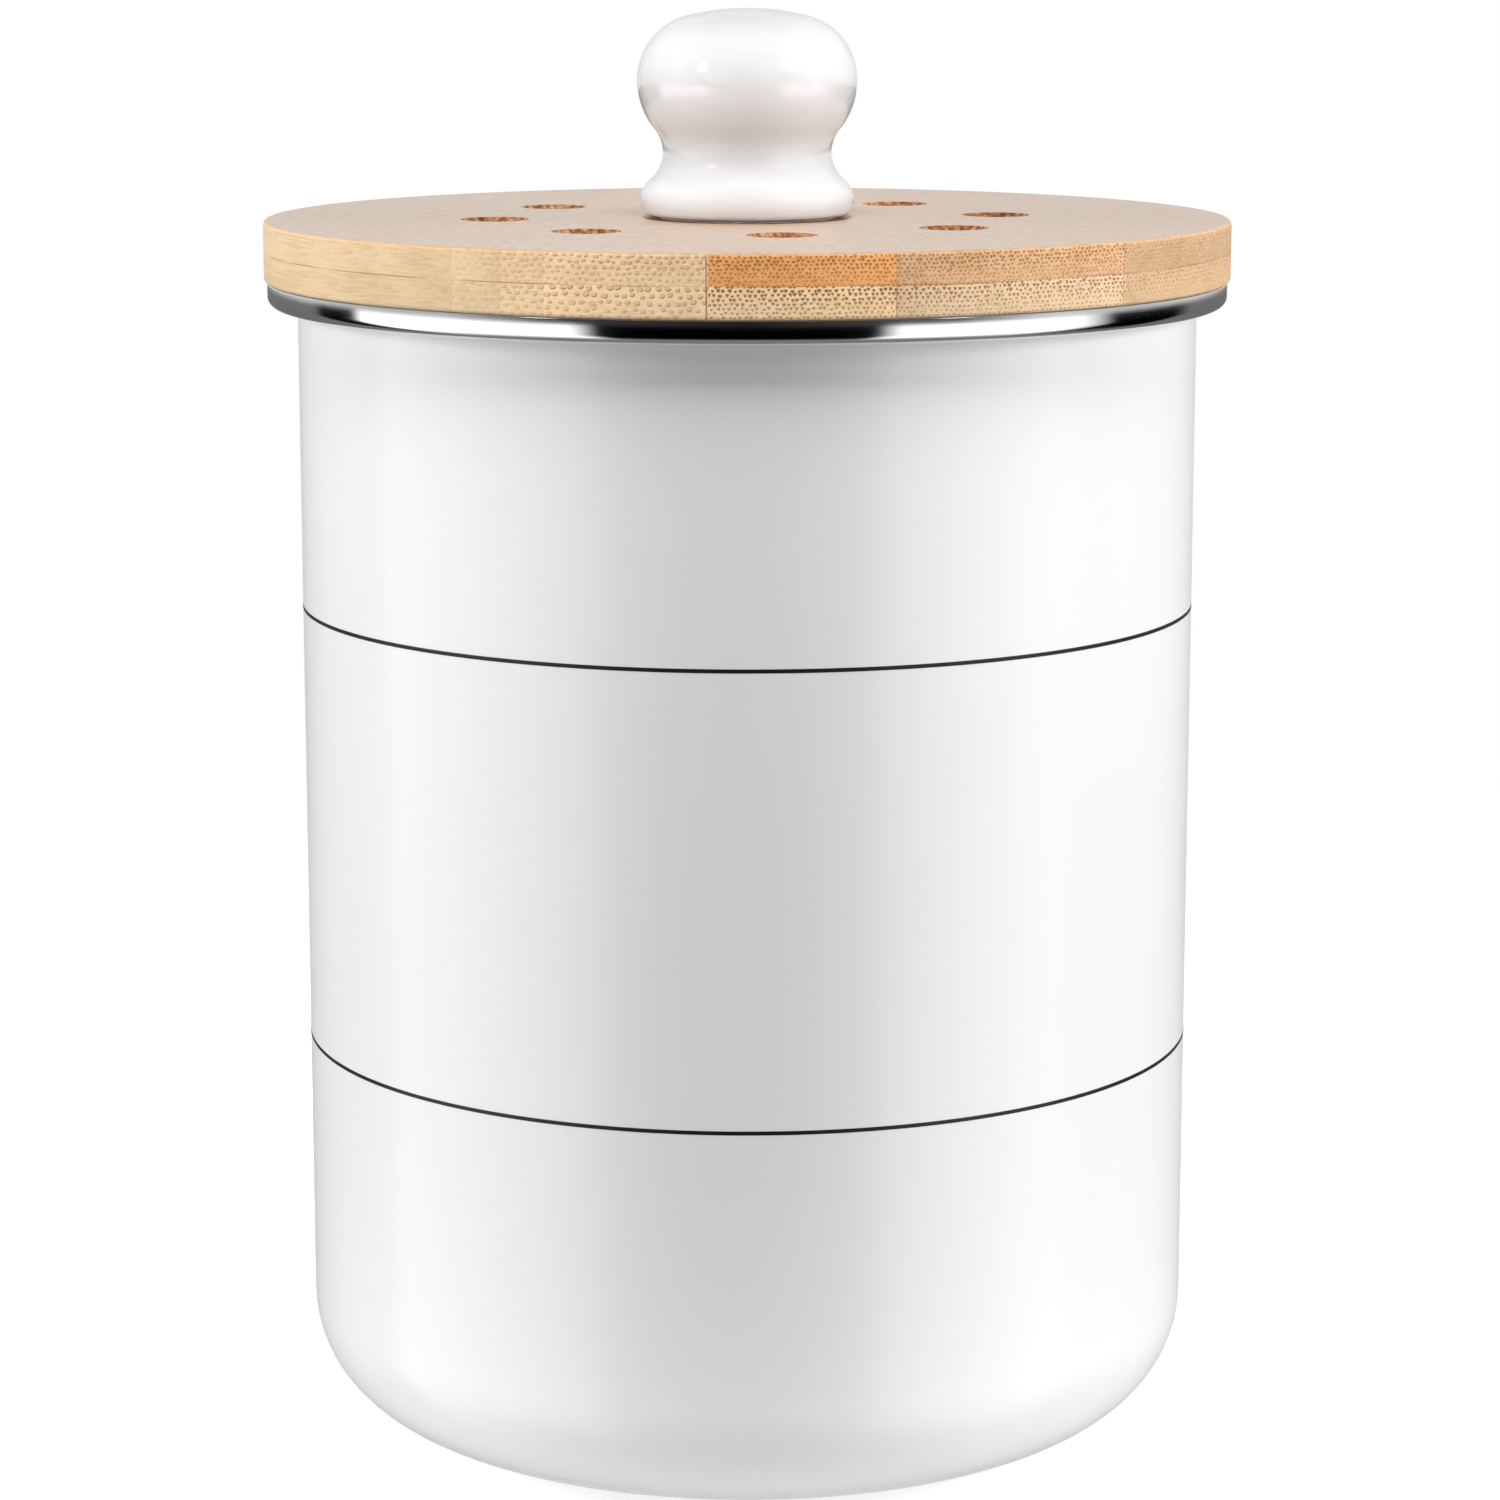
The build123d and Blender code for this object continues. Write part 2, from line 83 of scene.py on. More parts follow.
def arc(centre: np.ndarray, start: np.ndarray, end: np.ndarray, steps: int) -> np.ndarray:
    """Points on the short arc between two points that lie equally far from a centre.

    With a and b the two radii and w from 0 to 1, a point is the centre plus
    (sin((1 - w) turn) a + sin(w turn) b) / sin(turn), where turn is the angle from a to b.

    Args:
        centre: the arc's centre.
        start: its first point.
        end: its last point.
        steps: how many chords the arc has.

    Returns:
        The points, both ends included, as rows.
    """
    a, b = start - centre, end - centre
    turn = np.arccos(np.clip(np.dot(unit(a), unit(b)), -1.0, 1.0))
    w = np.linspace(0.0, 1.0, steps + 1)[:, None]
    return centre + (np.sin((1 - w) * turn) * a + np.sin(w * turn) * b) / np.sin(turn)


def rounded(corners: Sequence[Point], radii: Sequence[float], steps: int = 8) -> np.ndarray:
    """A path through corners, each inner one rounded by an arc that touches both of its runs.

    The arc touches each run at radius / tan(half) from the corner, and its centre lies on the
    bisector at radius / sin(half), where half is half the angle between the runs.

    Args:
        corners: the path's corners in the plane of radius and height.
        radii: one radius for each corner but the first and last; 0 leaves it sharp.
        steps: how many chords each arc has.

    Returns:
        The path's points as rows.
    """
    pts = [np.array(corner, float) for corner in corners]
    path = [pts[0][None, :]]
    for before, corner, after, radius in zip(pts, pts[1:], pts[2:], radii):
        if radius <= 0:
            path.append(corner[None, :])
            continue
        u, v = unit(before - corner), unit(after - corner)
        half = np.arccos(np.clip(np.dot(u, v), -1.0, 1.0)) / 2
        reach = radius / np.tan(half)
        centre = corner + unit(u + v) * radius / np.sin(half)
        path.append(arc(centre, corner + reach * u, corner + reach * v, steps))
    path.append(pts[-1][None, :])
    return np.concatenate(path)


def shifted(
    corners: Sequence[Point], radii: Sequence[float], distance: float
) -> tuple[list[Point], list[float]]:
    """The corners and radii of the path that runs beside another, to its left.

    A corner moves by the sum of its runs' left normals, divided by 1 plus their product, and
    its radius shrinks by the distance on a left turn and grows by it on a right turn.

    Args:
        corners: the first path's corners.
        radii: the radii of its inner corners.
        distance: how far to the left, negative for the right.

    Returns:
        The new corners and radii, for rounded().
    """
    pts = np.array(corners, float)
    runs = np.diff(pts, axis=0)
    runs /= np.linalg.norm(runs, axis=1)[:, None]
    left = np.stack([-runs[:, 1], runs[:, 0]], axis=1)
    dots = np.sum(left[:-1] * left[1:], axis=1)[:, None]
    inner = pts[1:-1] + distance * (left[:-1] + left[1:]) / (1 + dots)
    moved = np.concatenate([[pts[0] + distance * left[0]], inner, [pts[-1] + distance * left[-1]]])
    turns = np.sign(runs[:-1, 0] * runs[1:, 1] - runs[:-1, 1] * runs[1:, 0])
    return [tuple(p) for p in moved], list(np.array(radii) - distance * turns)


def folded_sheet(
    corners: Sequence[Point], radii: Sequence[float], thickness: float, steps: int = 8
) -> np.ndarray:
    """The outline of bent sheet: a path, and back along its left side.

    Args:
        corners: the corners of the path on one face of the sheet.
        radii: the radii of its inner corners.
        thickness: the sheet's thickness, to the path's left; negative for its right.
        steps: how many chords each bend has.

    Returns:
        The outline's points as rows, not closed.
    """
    there = rounded(corners, radii, steps)
    back = rounded(*shifted(corners, radii, thickness), steps)
    return np.concatenate([there, back[::-1]])


def turned(profile: np.ndarray, columns: int) -> np.ndarray:
    """Carries a profile once round the Z axis.

    A point at radius r and height z becomes (r cos turn, r sin turn, z), at equal turns.

    Args:
        profile: rows of radius and height.
        columns: how many times round.

    Returns:
        A grid of points, one row for each point of the profile.
    """
    turn = np.linspace(0.0, 2 * pi, columns, endpoint=False)
    r, z = profile[:, :1], profile[:, 1:]
    return np.stack([r * np.cos(turn), r * np.sin(turn), z + 0 * turn], axis=-1)


def between(first: np.ndarray, last: np.ndarray, rows: int) -> np.ndarray:
    """A ruled grid: each row is (1 - s) of the first curve and s of the last, s from 0 to 1."""
    s = np.linspace(0.0, 1.0, rows)[:, None, None]
    return (1 - s) * first + s * last


@dataclass
class Skin:
    """Grids of points that meet edge to edge and become one closed mesh."""

    points: list[np.ndarray] = field(default_factory=list)
    quads: list[np.ndarray] = field(default_factory=list)
    finish: list[np.ndarray] = field(default_factory=list)
    count: int = 0

    def add(self, grid: np.ndarray, close: bool = False, finish: int = 0) -> None:
        """Adds a grid of points, whose last column joins the first.

        Args:
            grid: the points, as rows by columns by 3.
            close: whether the last row joins the first.
            finish: which of the mesh's materials its faces take.
        """
        rows, columns = grid.shape[:2]
        index = np.arange(rows * columns).reshape(rows, columns) + self.count
        index = np.concatenate([index, index[:, :1]], axis=1)
        if close:
            index = np.concatenate([index, index[:1]], axis=0)
        corners = [index[:-1, :-1], index[:-1, 1:], index[1:, 1:], index[1:, :-1]]
        quads = np.stack(corners, axis=-1).reshape(-1, 4)
        self.points.append(grid.reshape(-1, 3))
        self.quads.append(quads)
        self.finish.append(np.full(len(quads), finish))
        self.count += rows * columns

    def mesh(self, name: str) -> Mesh:
        """Welds points that fall together and writes the mesh without closed-up faces.

        A quad with two corners in one place, as at a pole, becomes a triangle.

        Args:
            name: the mesh's name.

        Returns:
            The mesh in metres, its faces outwards.
        """
        points = np.concatenate(self.points) * MM
        quads, finish = np.concatenate(self.quads), np.concatenate(self.finish)
        _, first, welded = np.unique(
            np.round(points, WELD_DIGITS), axis=0, return_index=True, return_inverse=True
        )
        quads = welded.ravel()[quads]
        same = quads == np.roll(quads, -1, axis=1)
        doubles = same.sum(axis=1)
        whole = quads[doubles == 0]
        pinched, at = quads[doubles == 1], same[doubles == 1].argmax(axis=1)
        keep = (at[:, None] + 1 + np.arange(3)) % 4
        triangles = np.take_along_axis(pinched, keep, axis=1)
        mesh = bpy.data.meshes.new(name)
        mesh.from_pydata(points[first].tolist(), [], whole.tolist() + triangles.tolist())
        slots = np.concatenate([finish[doubles == 0], finish[doubles == 1]])
        mesh.polygons.foreach_set("material_index", slots.astype(np.int32))
        close_up(mesh)
        return mesh


def close_up(mesh: Mesh) -> None:
    """Turns a closed mesh's faces outwards and shades it smooth, apart from its sharp edges.

    Args:
        mesh: the mesh.
    """
    work = bmesh.new()
    work.from_mesh(mesh)
    bmesh.ops.recalc_face_normals(work, faces=work.faces)
    work.to_mesh(mesh)
    work.free()
    mesh.polygons.foreach_set("use_smooth", np.ones(len(mesh.polygons), bool))
    mesh.set_sharp_from_angle(angle=radians(CREASE))
    mesh.update()


def lathed(name: str, profile: np.ndarray, columns: int, close: bool = False) -> Mesh:
    """The mesh of a profile carried once round the Z axis.

    Args:
        name: the mesh's name.
        profile: rows of radius and height.
        columns: how many times round.
        close: whether the profile's end joins its start.

    Returns:
        The mesh.
    """
    skin = Skin()
    skin.add(turned(profile, columns), close)
    return skin.mesh(name)


def piece(
    mesh: Mesh,
    materials: Sequence[Material],
    body: str,
    nodes: Sequence[str] = (),
) -> bpy.types.Object:
    """Makes an object of the caddy from a finished mesh.

    Args:
        mesh: the mesh, in its place in the model's frame.
        materials: its materials, in the order of its faces' finishes.
        body: the CAD body that it moves with.
        nodes: the CAD nodes that it stands for.

    Returns:
        The object.
    """
    made = bpy.data.objects.new(mesh.name, mesh)
    bpy.context.scene.collection.objects.link(made)
    for material in materials:
        mesh.materials.append(material)
    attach(made, body)
    if nodes:
        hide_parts(*nodes)
    log.info("%s: %d faces, rides on %s", made.name, len(mesh.polygons), body)
    return made


def dress(node: bpy.types.Object, material: Material) -> None:
    """Gives a CAD node its material and leaves its shape alone.

    Args:
        node: the node's object.
        material: its finish.
    """
    node.data.materials.clear()
    node.data.materials.append(material)
    log.info("%s: CAD shape, finish %s", node.name, material.name)


# Materials


@dataclass
class Graph:
    """A material's or the world's node tree, with short calls for the nodes that are used here."""

    tree: bpy.types.NodeTree

    def node(self, kind: str, inputs: dict | None = None, **settings: object) -> bpy.types.Node:
        """Adds a node.

        Args:
            kind: the node's type without the ShaderNode prefix.
            inputs: a value or an output socket for each named or numbered input.
            settings: the node's own properties.

        Returns:
            The node.
        """
        made = self.tree.nodes.new("ShaderNode" + kind)
        for name, value in settings.items():
            setattr(made, name, value)
        for name, value in (inputs or {}).items():
            self.feed(made.inputs[name], value)
        return made

    def feed(self, socket: Socket, value: object) -> None:
        """Links an output to a socket, or sets the socket's value.

        Args:
            socket: the input that is fed.
            value: an output socket, or a value of the input's own kind.
        """
        if isinstance(value, Socket):
            self.tree.links.new(value, socket)
        else:
            socket.default_value = value

    def finish(
        self, shader: bpy.types.Node, colour: object, roughness: object, normal: object = None
    ) -> None:
        """Feeds a shader's colour, its roughness and, if there is one, its bent normal.

        Args:
            shader: the Principled shader.
            colour: its base colour.
            roughness: its roughness, from 0 to 1.
            normal: a normal from bump().
        """
        self.feed(shader.inputs["Base Color"], opaque(colour))
        self.feed(shader.inputs["Roughness"], roughness)
        if normal is not None:
            self.feed(shader.inputs["Normal"], normal)

    def math(self, operation: str, *values: object, clamp: bool = False) -> Socket:
        """The result of a Math node on up to three numbers."""
        inputs = dict(enumerate(values))
        return self.node("Math", inputs, operation=operation, use_clamp=clamp).outputs[0]

    def plus(self, first: object, second: object) -> Socket:
        """The sum of two numbers."""
        return self.math("ADD", first, second)

    def minus(self, first: object, second: object) -> Socket:
        """The first number less the second."""
        return self.math("SUBTRACT", first, second)

    def times(self, first: object, second: object) -> Socket:
        """The product of two numbers."""
        return self.math("MULTIPLY", first, second)

    def line(self, value: object, slope: object, offset: object) -> Socket:
        """A number times a slope, plus an offset."""
        return self.math("MULTIPLY_ADD", value, slope, offset)

    def most(self, first: object, second: object) -> Socket:
        """The larger of two numbers."""
        return self.math("MAXIMUM", first, second)

    def gap(self, first: object, second: object) -> Socket:
        """How far two numbers lie apart."""
        return self.math("ABSOLUTE", self.minus(first, second))

    def length(self, first: object, second: object) -> Socket:
        """The root of the sum of two squares."""
        return self.math("SQRT", self.line(first, first, self.times(second, second)))

    def step(self, value: object, low: float, high: float) -> Socket:
        """A smooth step between two limits, of which the low one may be the larger.

        Args:
            value: the number that is tested.
            low: where the step is 0.
            high: where the step is 1.

        Returns:
            The step, from 0 to 1.
        """
        inputs = {"Value": value, "From Min": low, "From Max": high}
        if low > high:
            inputs.update({"From Min": high, "From Max": low, "To Min": 1.0, "To Max": 0.0})
        return self.node("MapRange", inputs, interpolation_type="SMOOTHSTEP").outputs[0]

    def blend(self, share: object, first: object, last: object) -> Socket:
        """A colour that is the first where share is 0 and the last where it is 1."""
        inputs = {"Factor": share, "A": opaque(first), "B": opaque(last)}
        return self.node("Mix", inputs, data_type="RGBA", clamp_factor=True).outputs["Result"]

    def blend_numbers(self, share: object, first: object, last: object) -> Socket:
        """A number that is the first where share is 0 and the last where it is 1."""
        inputs = {"Factor": share, "A": first, "B": last}
        return self.node("Mix", inputs, data_type="FLOAT", clamp_factor=True).outputs["Result"]

    def ramp(
        self, value: object, stops: Sequence[tuple[float, Colour]], interpolation: str = "LINEAR"
    ) -> Socket:
        """A colour that depends on a number.

        Args:
            value: the number, from 0 to 1.
            stops: positions and colours in rising order.
            interpolation: how colours change between the stops.

        Returns:
            The colour.
        """
        made = self.node("ValToRGB", {0: value})
        band = made.color_ramp
        band.interpolation = interpolation
        while len(band.elements) < len(stops):
            band.elements.new(0.5)
        for element, (position, _) in zip(band.elements, stops):
            element.position = position
        for element, (_, colour) in zip(band.elements, stops):
            element.color = opaque(colour)
        return made.outputs[0]

    def place(self, turn: float = 0.0) -> Socket:
        """Object coordinates, turned about Z by some degrees."""
        inputs = {0: self.node("TexCoord").outputs["Object"], "Rotation": (0, 0, radians(turn))}
        return self.node("Mapping", inputs, vector_type="POINT").outputs[0]

    def stretch(self, vector: object, scale: Sequence[float]) -> Socket:
        """A vector scaled along each axis."""
        inputs = {0: vector, 1: tuple(scale)}
        return self.node("VectorMath", inputs, operation="MULTIPLY").outputs[0]

    def noise(self, vector: object, scale: float | Triple, detail: float = 2.0) -> Socket:
        """Soft noise from 0 to 1.

        Args:
            vector: the coordinates.
            scale: how fine it is, in all directions alike or along each axis.
            detail: how many finer layers lie over it.

        Returns:
            The noise.
        """
        if isinstance(scale, tuple):
            vector, scale = self.stretch(vector, scale), 1.0
        inputs = {"Vector": vector, "Scale": scale, "Detail": detail}
        return self.node("TexNoise", inputs).outputs[0]

    def bump(self, height: object, depth: float) -> Socket:
        """A normal bent by a height from 0 to 1 that is depth metres deep."""
        inputs = {"Height": height, "Distance": depth, "Strength": 1.0}
        return self.node("Bump", inputs).outputs[0]


def opaque(colour: object) -> object:
    """A colour with its alpha, or a socket as it is."""
    return colour if isinstance(colour, Socket) else (*colour, 1.0)


def dimmed(colour: Colour, share: float) -> Colour:
    """A colour at a share of its brightness."""
    return tuple(share * part for part in colour)


def srgb(red: int, green: int, blue: int) -> Colour:
    """A colour as a screen shows it, as the linear colour that a shader takes.

    Args:
        red: the red part, from 0 to 255.
        green: the green part.
        blue: the blue part.

    Returns:
        The linear colour, each part from 0 to 1.
    """
    share = np.array([red, green, blue]) / 255
    linear = np.where(share <= 0.04045, share / 12.92, ((share + 0.055) / 1.055) ** 2.4)
    return tuple(float(part) for part in linear)


def surface(name: str, constants: dict[str, object]) -> tuple[Material, Graph, bpy.types.Node]:
    """A new material with one Principled shader.

    Args:
        name: the material's name.
        constants: the shader's own values, by socket.

    Returns:
        The material, its graph and the shader.
    """
    material = bpy.data.materials.new(name)
    material.use_nodes = True
    graph = Graph(material.node_tree)
    shader = material.node_tree.nodes["Principled BSDF"]
    for socket, value in constants.items():
        shader.inputs[socket].default_value = value
    return material, graph, shader


@dataclass(frozen=True)
class Grain:
    """Noise on a surface.

    Attributes:
        scale: how fine it is, in all directions alike or along each axis.
        detail: how many finer layers lie over it.
    """

    scale: float | Triple
    detail: float = 2.0

    def at(self, graph: Graph, spot: Socket) -> Socket:
        """The noise at some coordinates, from 0 to 1."""
        return graph.noise(spot, self.scale, self.detail)


@dataclass(frozen=True)
class Finish:
    """A finish whose colour and roughness drift with noise, over a fine relief.

    Attributes:
        name: the material's name.
        colour: its colour.
        roughness: its roughness where its noise is lowest and highest.
        low_tint: what the colour is multiplied by where the tone's noise is lowest.
        high_tint: what it is multiplied by where that is highest.
        tone: the noise of its colour.
        gloss: the noise of its roughness, if it isn't the tone's.
        relief: the noise of its relief, if it has one.
        depth: how deep the relief is, in metres.
        traits: the shader's other values, by socket.
    """

    name: str
    colour: Colour
    roughness: Pair
    low_tint: Triple = (1.0, 1.0, 1.0)
    high_tint: Triple = (1.0, 1.0, 1.0)
    tone: Grain = Grain(100.0)
    gloss: Grain | None = None
    relief: Grain | None = None
    depth: float = 0.0
    traits: Traits = ()

    def build(self) -> Material:
        """Makes the material.

        Returns:
            The material.
        """
        material, graph, shader = surface(self.name, dict(self.traits))
        spot = graph.place()
        tone = self.tone.at(graph, spot)
        gloss = self.gloss.at(graph, spot) if self.gloss else tone
        relief = graph.bump(self.relief.at(graph, spot), self.depth) if self.relief else None
        tints = (np.multiply(self.colour, t).tolist() for t in (self.low_tint, self.high_tint))
        roughness = graph.blend_numbers(gloss, *self.roughness)
        graph.finish(shader, graph.blend(tone, *tints), roughness, relief)
        return material


@dataclass(frozen=True)
class CoatedSteel(Finish):
    """Smooth white coating on steel, with a faint orange peel under its gloss."""

    name: str = "coated_steel"
    colour: Colour = (0.80, 0.80, 0.80)
    roughness: Pair = (0.30, 0.38)
    low_tint: Triple = (0.985, 0.985, 0.985)
    tone: Grain = Grain(14.0)
    relief: Grain = Grain(420.0, 1.0)
    depth: float = 0.000012
    traits: Traits = (("Coat Weight", 0.35), ("Coat Roughness", 0.09))


@dataclass(frozen=True)
class PolishedSteel(Finish):
    """Mirror polished sheet with very fine lines along its length and a few soft smears."""

    name: str = "polished_steel"
    colour: Colour = (0.80, 0.80, 0.81)
    roughness: Pair = (0.05, 0.13)
    tone: Grain = Grain(60.0, 3.0)
    relief: Grain = Grain((60, 60, 9000), 1.0)
    depth: float = 0.0000012
    traits: Traits = (("Metallic", 1.0),)


@dataclass(frozen=True)
class PrintedInk(Finish):
    """Black printed line, slightly uneven in its gloss."""

    name: str = "printed_ink"
    colour: Colour = (0.004, 0.004, 0.004)
    roughness: Pair = (0.38, 0.5)
    high_tint: Triple = (3.0, 3.0, 3.0)
    tone: Grain = Grain(3000.0)
    traits: Traits = (("Specular IOR Level", 0.4),)


@dataclass(frozen=True)
class WhiteGlaze(Finish):
    """Glossy white glaze with a faint wave from firing."""

    name: str = "white_glaze"
    colour: Colour = (0.54, 0.542, 0.552)
    roughness: Pair = (0.16, 0.24)
    high_tint: Triple = (1.0, 0.995, 0.985)
    tone: Grain = Grain(55.0)
    relief: Grain = Grain(90.0, 1.0)
    depth: float = 0.00002
    traits: Traits = (
        ("Coat Weight", 1.0),
        ("Coat Roughness", 0.05),
        ("Subsurface Weight", 0.5),
        ("Subsurface Radius", (1.0, 1.0, 1.0)),
        ("Subsurface Scale", 0.010),
    )


@dataclass(frozen=True)
class MouldedPlastic(Finish):
    """Moulded plastic with a fine spark-eroded grain and slight flow marks."""

    low_tint: Triple = (0.93, 0.93, 0.93)
    tone: Grain = Grain((30, 30, 9), 3.0)
    gloss: Grain = Grain(5200.0)
    relief: Grain = Grain(5200.0)
    depth: float = 0.000025
    traits: Traits = (("Specular IOR Level", 0.45),)


@dataclass(frozen=True)
class Silicone(Finish):
    """Soft, slightly translucent silicone with a dusty sheen."""

    name: str = "silicone"
    colour: Colour = (0.80, 0.80, 0.78)
    roughness: Pair = (0.5, 0.62)
    low_tint: Triple = (0.94, 0.94, 0.94)
    tone: Grain = Grain(700.0, 3.0)
    relief: Grain = Grain(700.0, 3.0)
    depth: float = 0.00002
    traits: Traits = (
        ("Subsurface Weight", 0.25),
        ("Subsurface Radius", (0.002, 0.0018, 0.0015)),
        ("Subsurface Scale", 1.0),
        ("Sheen Weight", 0.15),
        ("Specular IOR Level", 0.35),
    )


@dataclass(frozen=True)
class TurnedMetal(Finish):
    """Bright metal with fine lathe lines."""

    low_tint: Triple = (0.8, 0.8, 0.8)
    tone: Grain = Grain(500.0, 3.0)
    relief: Grain = Grain((250, 250, 7000))
    depth: float = 0.000008
    traits: Traits = (("Metallic", 1.0),)


@dataclass(frozen=True)
class CharcoalFelt:
    """Black needled felt: tangled fibres, open pores and specks of carbon."""

    darkest: Colour = (0.012, 0.012, 0.013)
    palest: Colour = (0.085, 0.085, 0.09)
    roughness: Pair = (0.8, 0.97)
    fibres: Grain = Grain(900.0, 4.0)
    fibre_tangle: float = 2.5
    fibre_share: float = 0.7
    pore_scale: float = 700.0
    pore_share: float = 0.5
    tone_limits: Pair = (0.35, 0.8)
    nap_depth: float = 0.0005
    traits: Traits = (
        ("Sheen Weight", 0.35),
        ("Sheen Roughness", 0.6),
        ("Specular IOR Level", 0.2),
    )

    def build(self) -> Material:
        """Makes the material.

        Returns:
            The material.
        """
        material, graph, shader = surface("charcoal_felt", dict(self.traits))
        spot = graph.place()
        fibres = {"Vector": spot, "Scale": self.fibres.scale, "Detail": self.fibres.detail}
        fibres["Distortion"] = self.fibre_tangle
        tangle = graph.times(graph.node("TexNoise", fibres).outputs[0], self.fibre_share)
        pores = graph.node("TexVoronoi", {"Vector": spot, "Scale": self.pore_scale})
        height = graph.plus(tangle, graph.times(pores.outputs["Distance"], self.pore_share))
        colour = graph.blend(graph.step(height, *self.tone_limits), self.darkest, self.palest)
        roughness = graph.blend_numbers(height, *self.roughness)
        graph.finish(shader, colour, roughness, graph.bump(height, self.nap_depth))
        return material


class Cut(IntEnum):
    """How a surface of the wood was made, numbered as a board's materials are."""

    SANDED = 0
    DRILLED = 1


class Ply(Enum):
    """Which layer of the lid a piece of wood is."""

    UPPER = "upper"
    LOWER = "lower"


@dataclass(frozen=True)
class Strip:
    """One glued strip of bamboo, which reaches to where the next one begins.

    Attributes:
        start: where it begins across the grain.
        tone: the colour of its end grain.
        dots: how strongly its bundles show, from 0 to 1.
        core: how strongly a pale core fills each bundle, from 0 to 1.
        pitch: the distance from bundle to bundle across the grain.
        line: how dark the glue line at its beginning is, from 0 to 1.
    """

    start: float
    tone: Colour
    dots: float
    core: float
    pitch: float
    line: float = 0.0


@dataclass(frozen=True)
class Bundles:
    """The bamboo's fibre bundles, cut across: dark sheaths, pale cores and pale rings.

    Lengths are shares of the pitch. The parts of growth are what a core and the ply's height
    add to a bundle's size. Spread, disc and strength hold what chance, a core and the height
    add, and what is there without them. Scatter and the shifts go across and up, and a shift
    moves a disc to the left and down. An edge goes from where it starts to where it is full.
    """

    halo: float = 0.6
    row_share: float = 0.8
    scatter: Pair = (0.25, 0.22)
    size: float = 0.25
    growth: Pair = (0.05, 0.07)
    spread: Pair = (0.45, 0.75)
    taper: float = -0.5
    sheath_shift: Pair = (-0.05, 0.07)
    core_shift: Pair = (0.04, -0.06)
    disc: Pair = (0.6, 0.4)
    sheath_edge: Pair = (-0.06, 0.06)
    core_edge: Pair = (-0.01, 0.08)
    ring_edge: Pair = (-0.24, -0.08)
    strength: Pair = (0.4, 0.55)
    core_tone: float = 0.5

    def show(
        self, graph: Graph, across: Socket, height: Socket, traits: tuple, rise: Socket
    ) -> tuple[Socket, Socket]:
        """Where the bundles' dark sheaths and pale parts show.

        With u and v the place across and up in steps of the pitch and of the row's share of it,
        and u moved by half of v, each bundle stands at a whole u and v, moved a little by chance.
        Its sheath is between a blunt wedge that points down, the larger of v' and
        |u'| + taper v', and a disc. Its core is a disc set to the other side, so that a crescent
        of the sheath stays beside it.

        Args:
            graph: the material's graph.
            across: the place across the grain.
            height: the height.
            traits: the strip's dots, core and closeness.
            rise: 0 at the ply's foot and 1 at its top.

        Returns:
            The sheath's share and the pale parts' share.
        """
        dots, core, closeness = traits
        v = graph.times(graph.math("DIVIDE", height, self.row_share * MM), closeness)
        u = graph.line(graph.math("DIVIDE", across, MM), closeness, graph.times(v, 0.5))
        whole_u, whole_v = graph.math("ROUND", u), graph.math("ROUND", v)
        cell = graph.node("CombineXYZ", {0: whole_u, 1: whole_v}).outputs[0]
        chance = graph.node("TexWhiteNoise", {"Vector": cell}, noise_dimensions="2D")
        chances = graph.node("SeparateColor", {0: chance.outputs["Color"]}).outputs
        dv = graph.minus(v, whole_v)
        du = graph.minus(graph.minus(u, whole_u), graph.times(dv, 0.5))
        du = graph.plus(du, graph.line(chances[0], 2 * self.scatter[0], -self.scatter[0]))
        dv = graph.plus(dv, graph.line(chances[1], 2 * self.scatter[1], -self.scatter[1]))
        size = graph.line(core, self.growth[0], graph.line(rise, self.growth[1], self.size))
        size = graph.times(size, graph.line(chances[2], *self.spread))
        wedge = graph.most(dv, graph.line(dv, self.taper, graph.math("ABSOLUTE", du)))
        outer, inner = (
            graph.length(graph.plus(du, shift[0]), graph.plus(dv, shift[1]))
            for shift in (self.sheath_shift, self.core_shift)
        )
        outline = graph.blend_numbers(graph.line(core, *self.disc), wedge, outer)
        sheath = graph.step(graph.minus(size, outline), *self.sheath_edge)
        inside = graph.minus(size, inner)
        middle = graph.times(graph.step(inside, *self.core_edge), core)
        halo = graph.times(graph.step(inside, *self.ring_edge), self.halo)
        strength = graph.times(dots, graph.line(rise, *self.strength))
        bare = graph.times(sheath, graph.minus(1.0, middle))
        dark = graph.math("MULTIPLY", bare, strength, clamp=True)
        ring = graph.times(halo, graph.minus(1.0, core))
        light = graph.most(graph.times(middle, self.core_tone), ring)
        return dark, graph.math("MULTIPLY", light, dots, clamp=True)


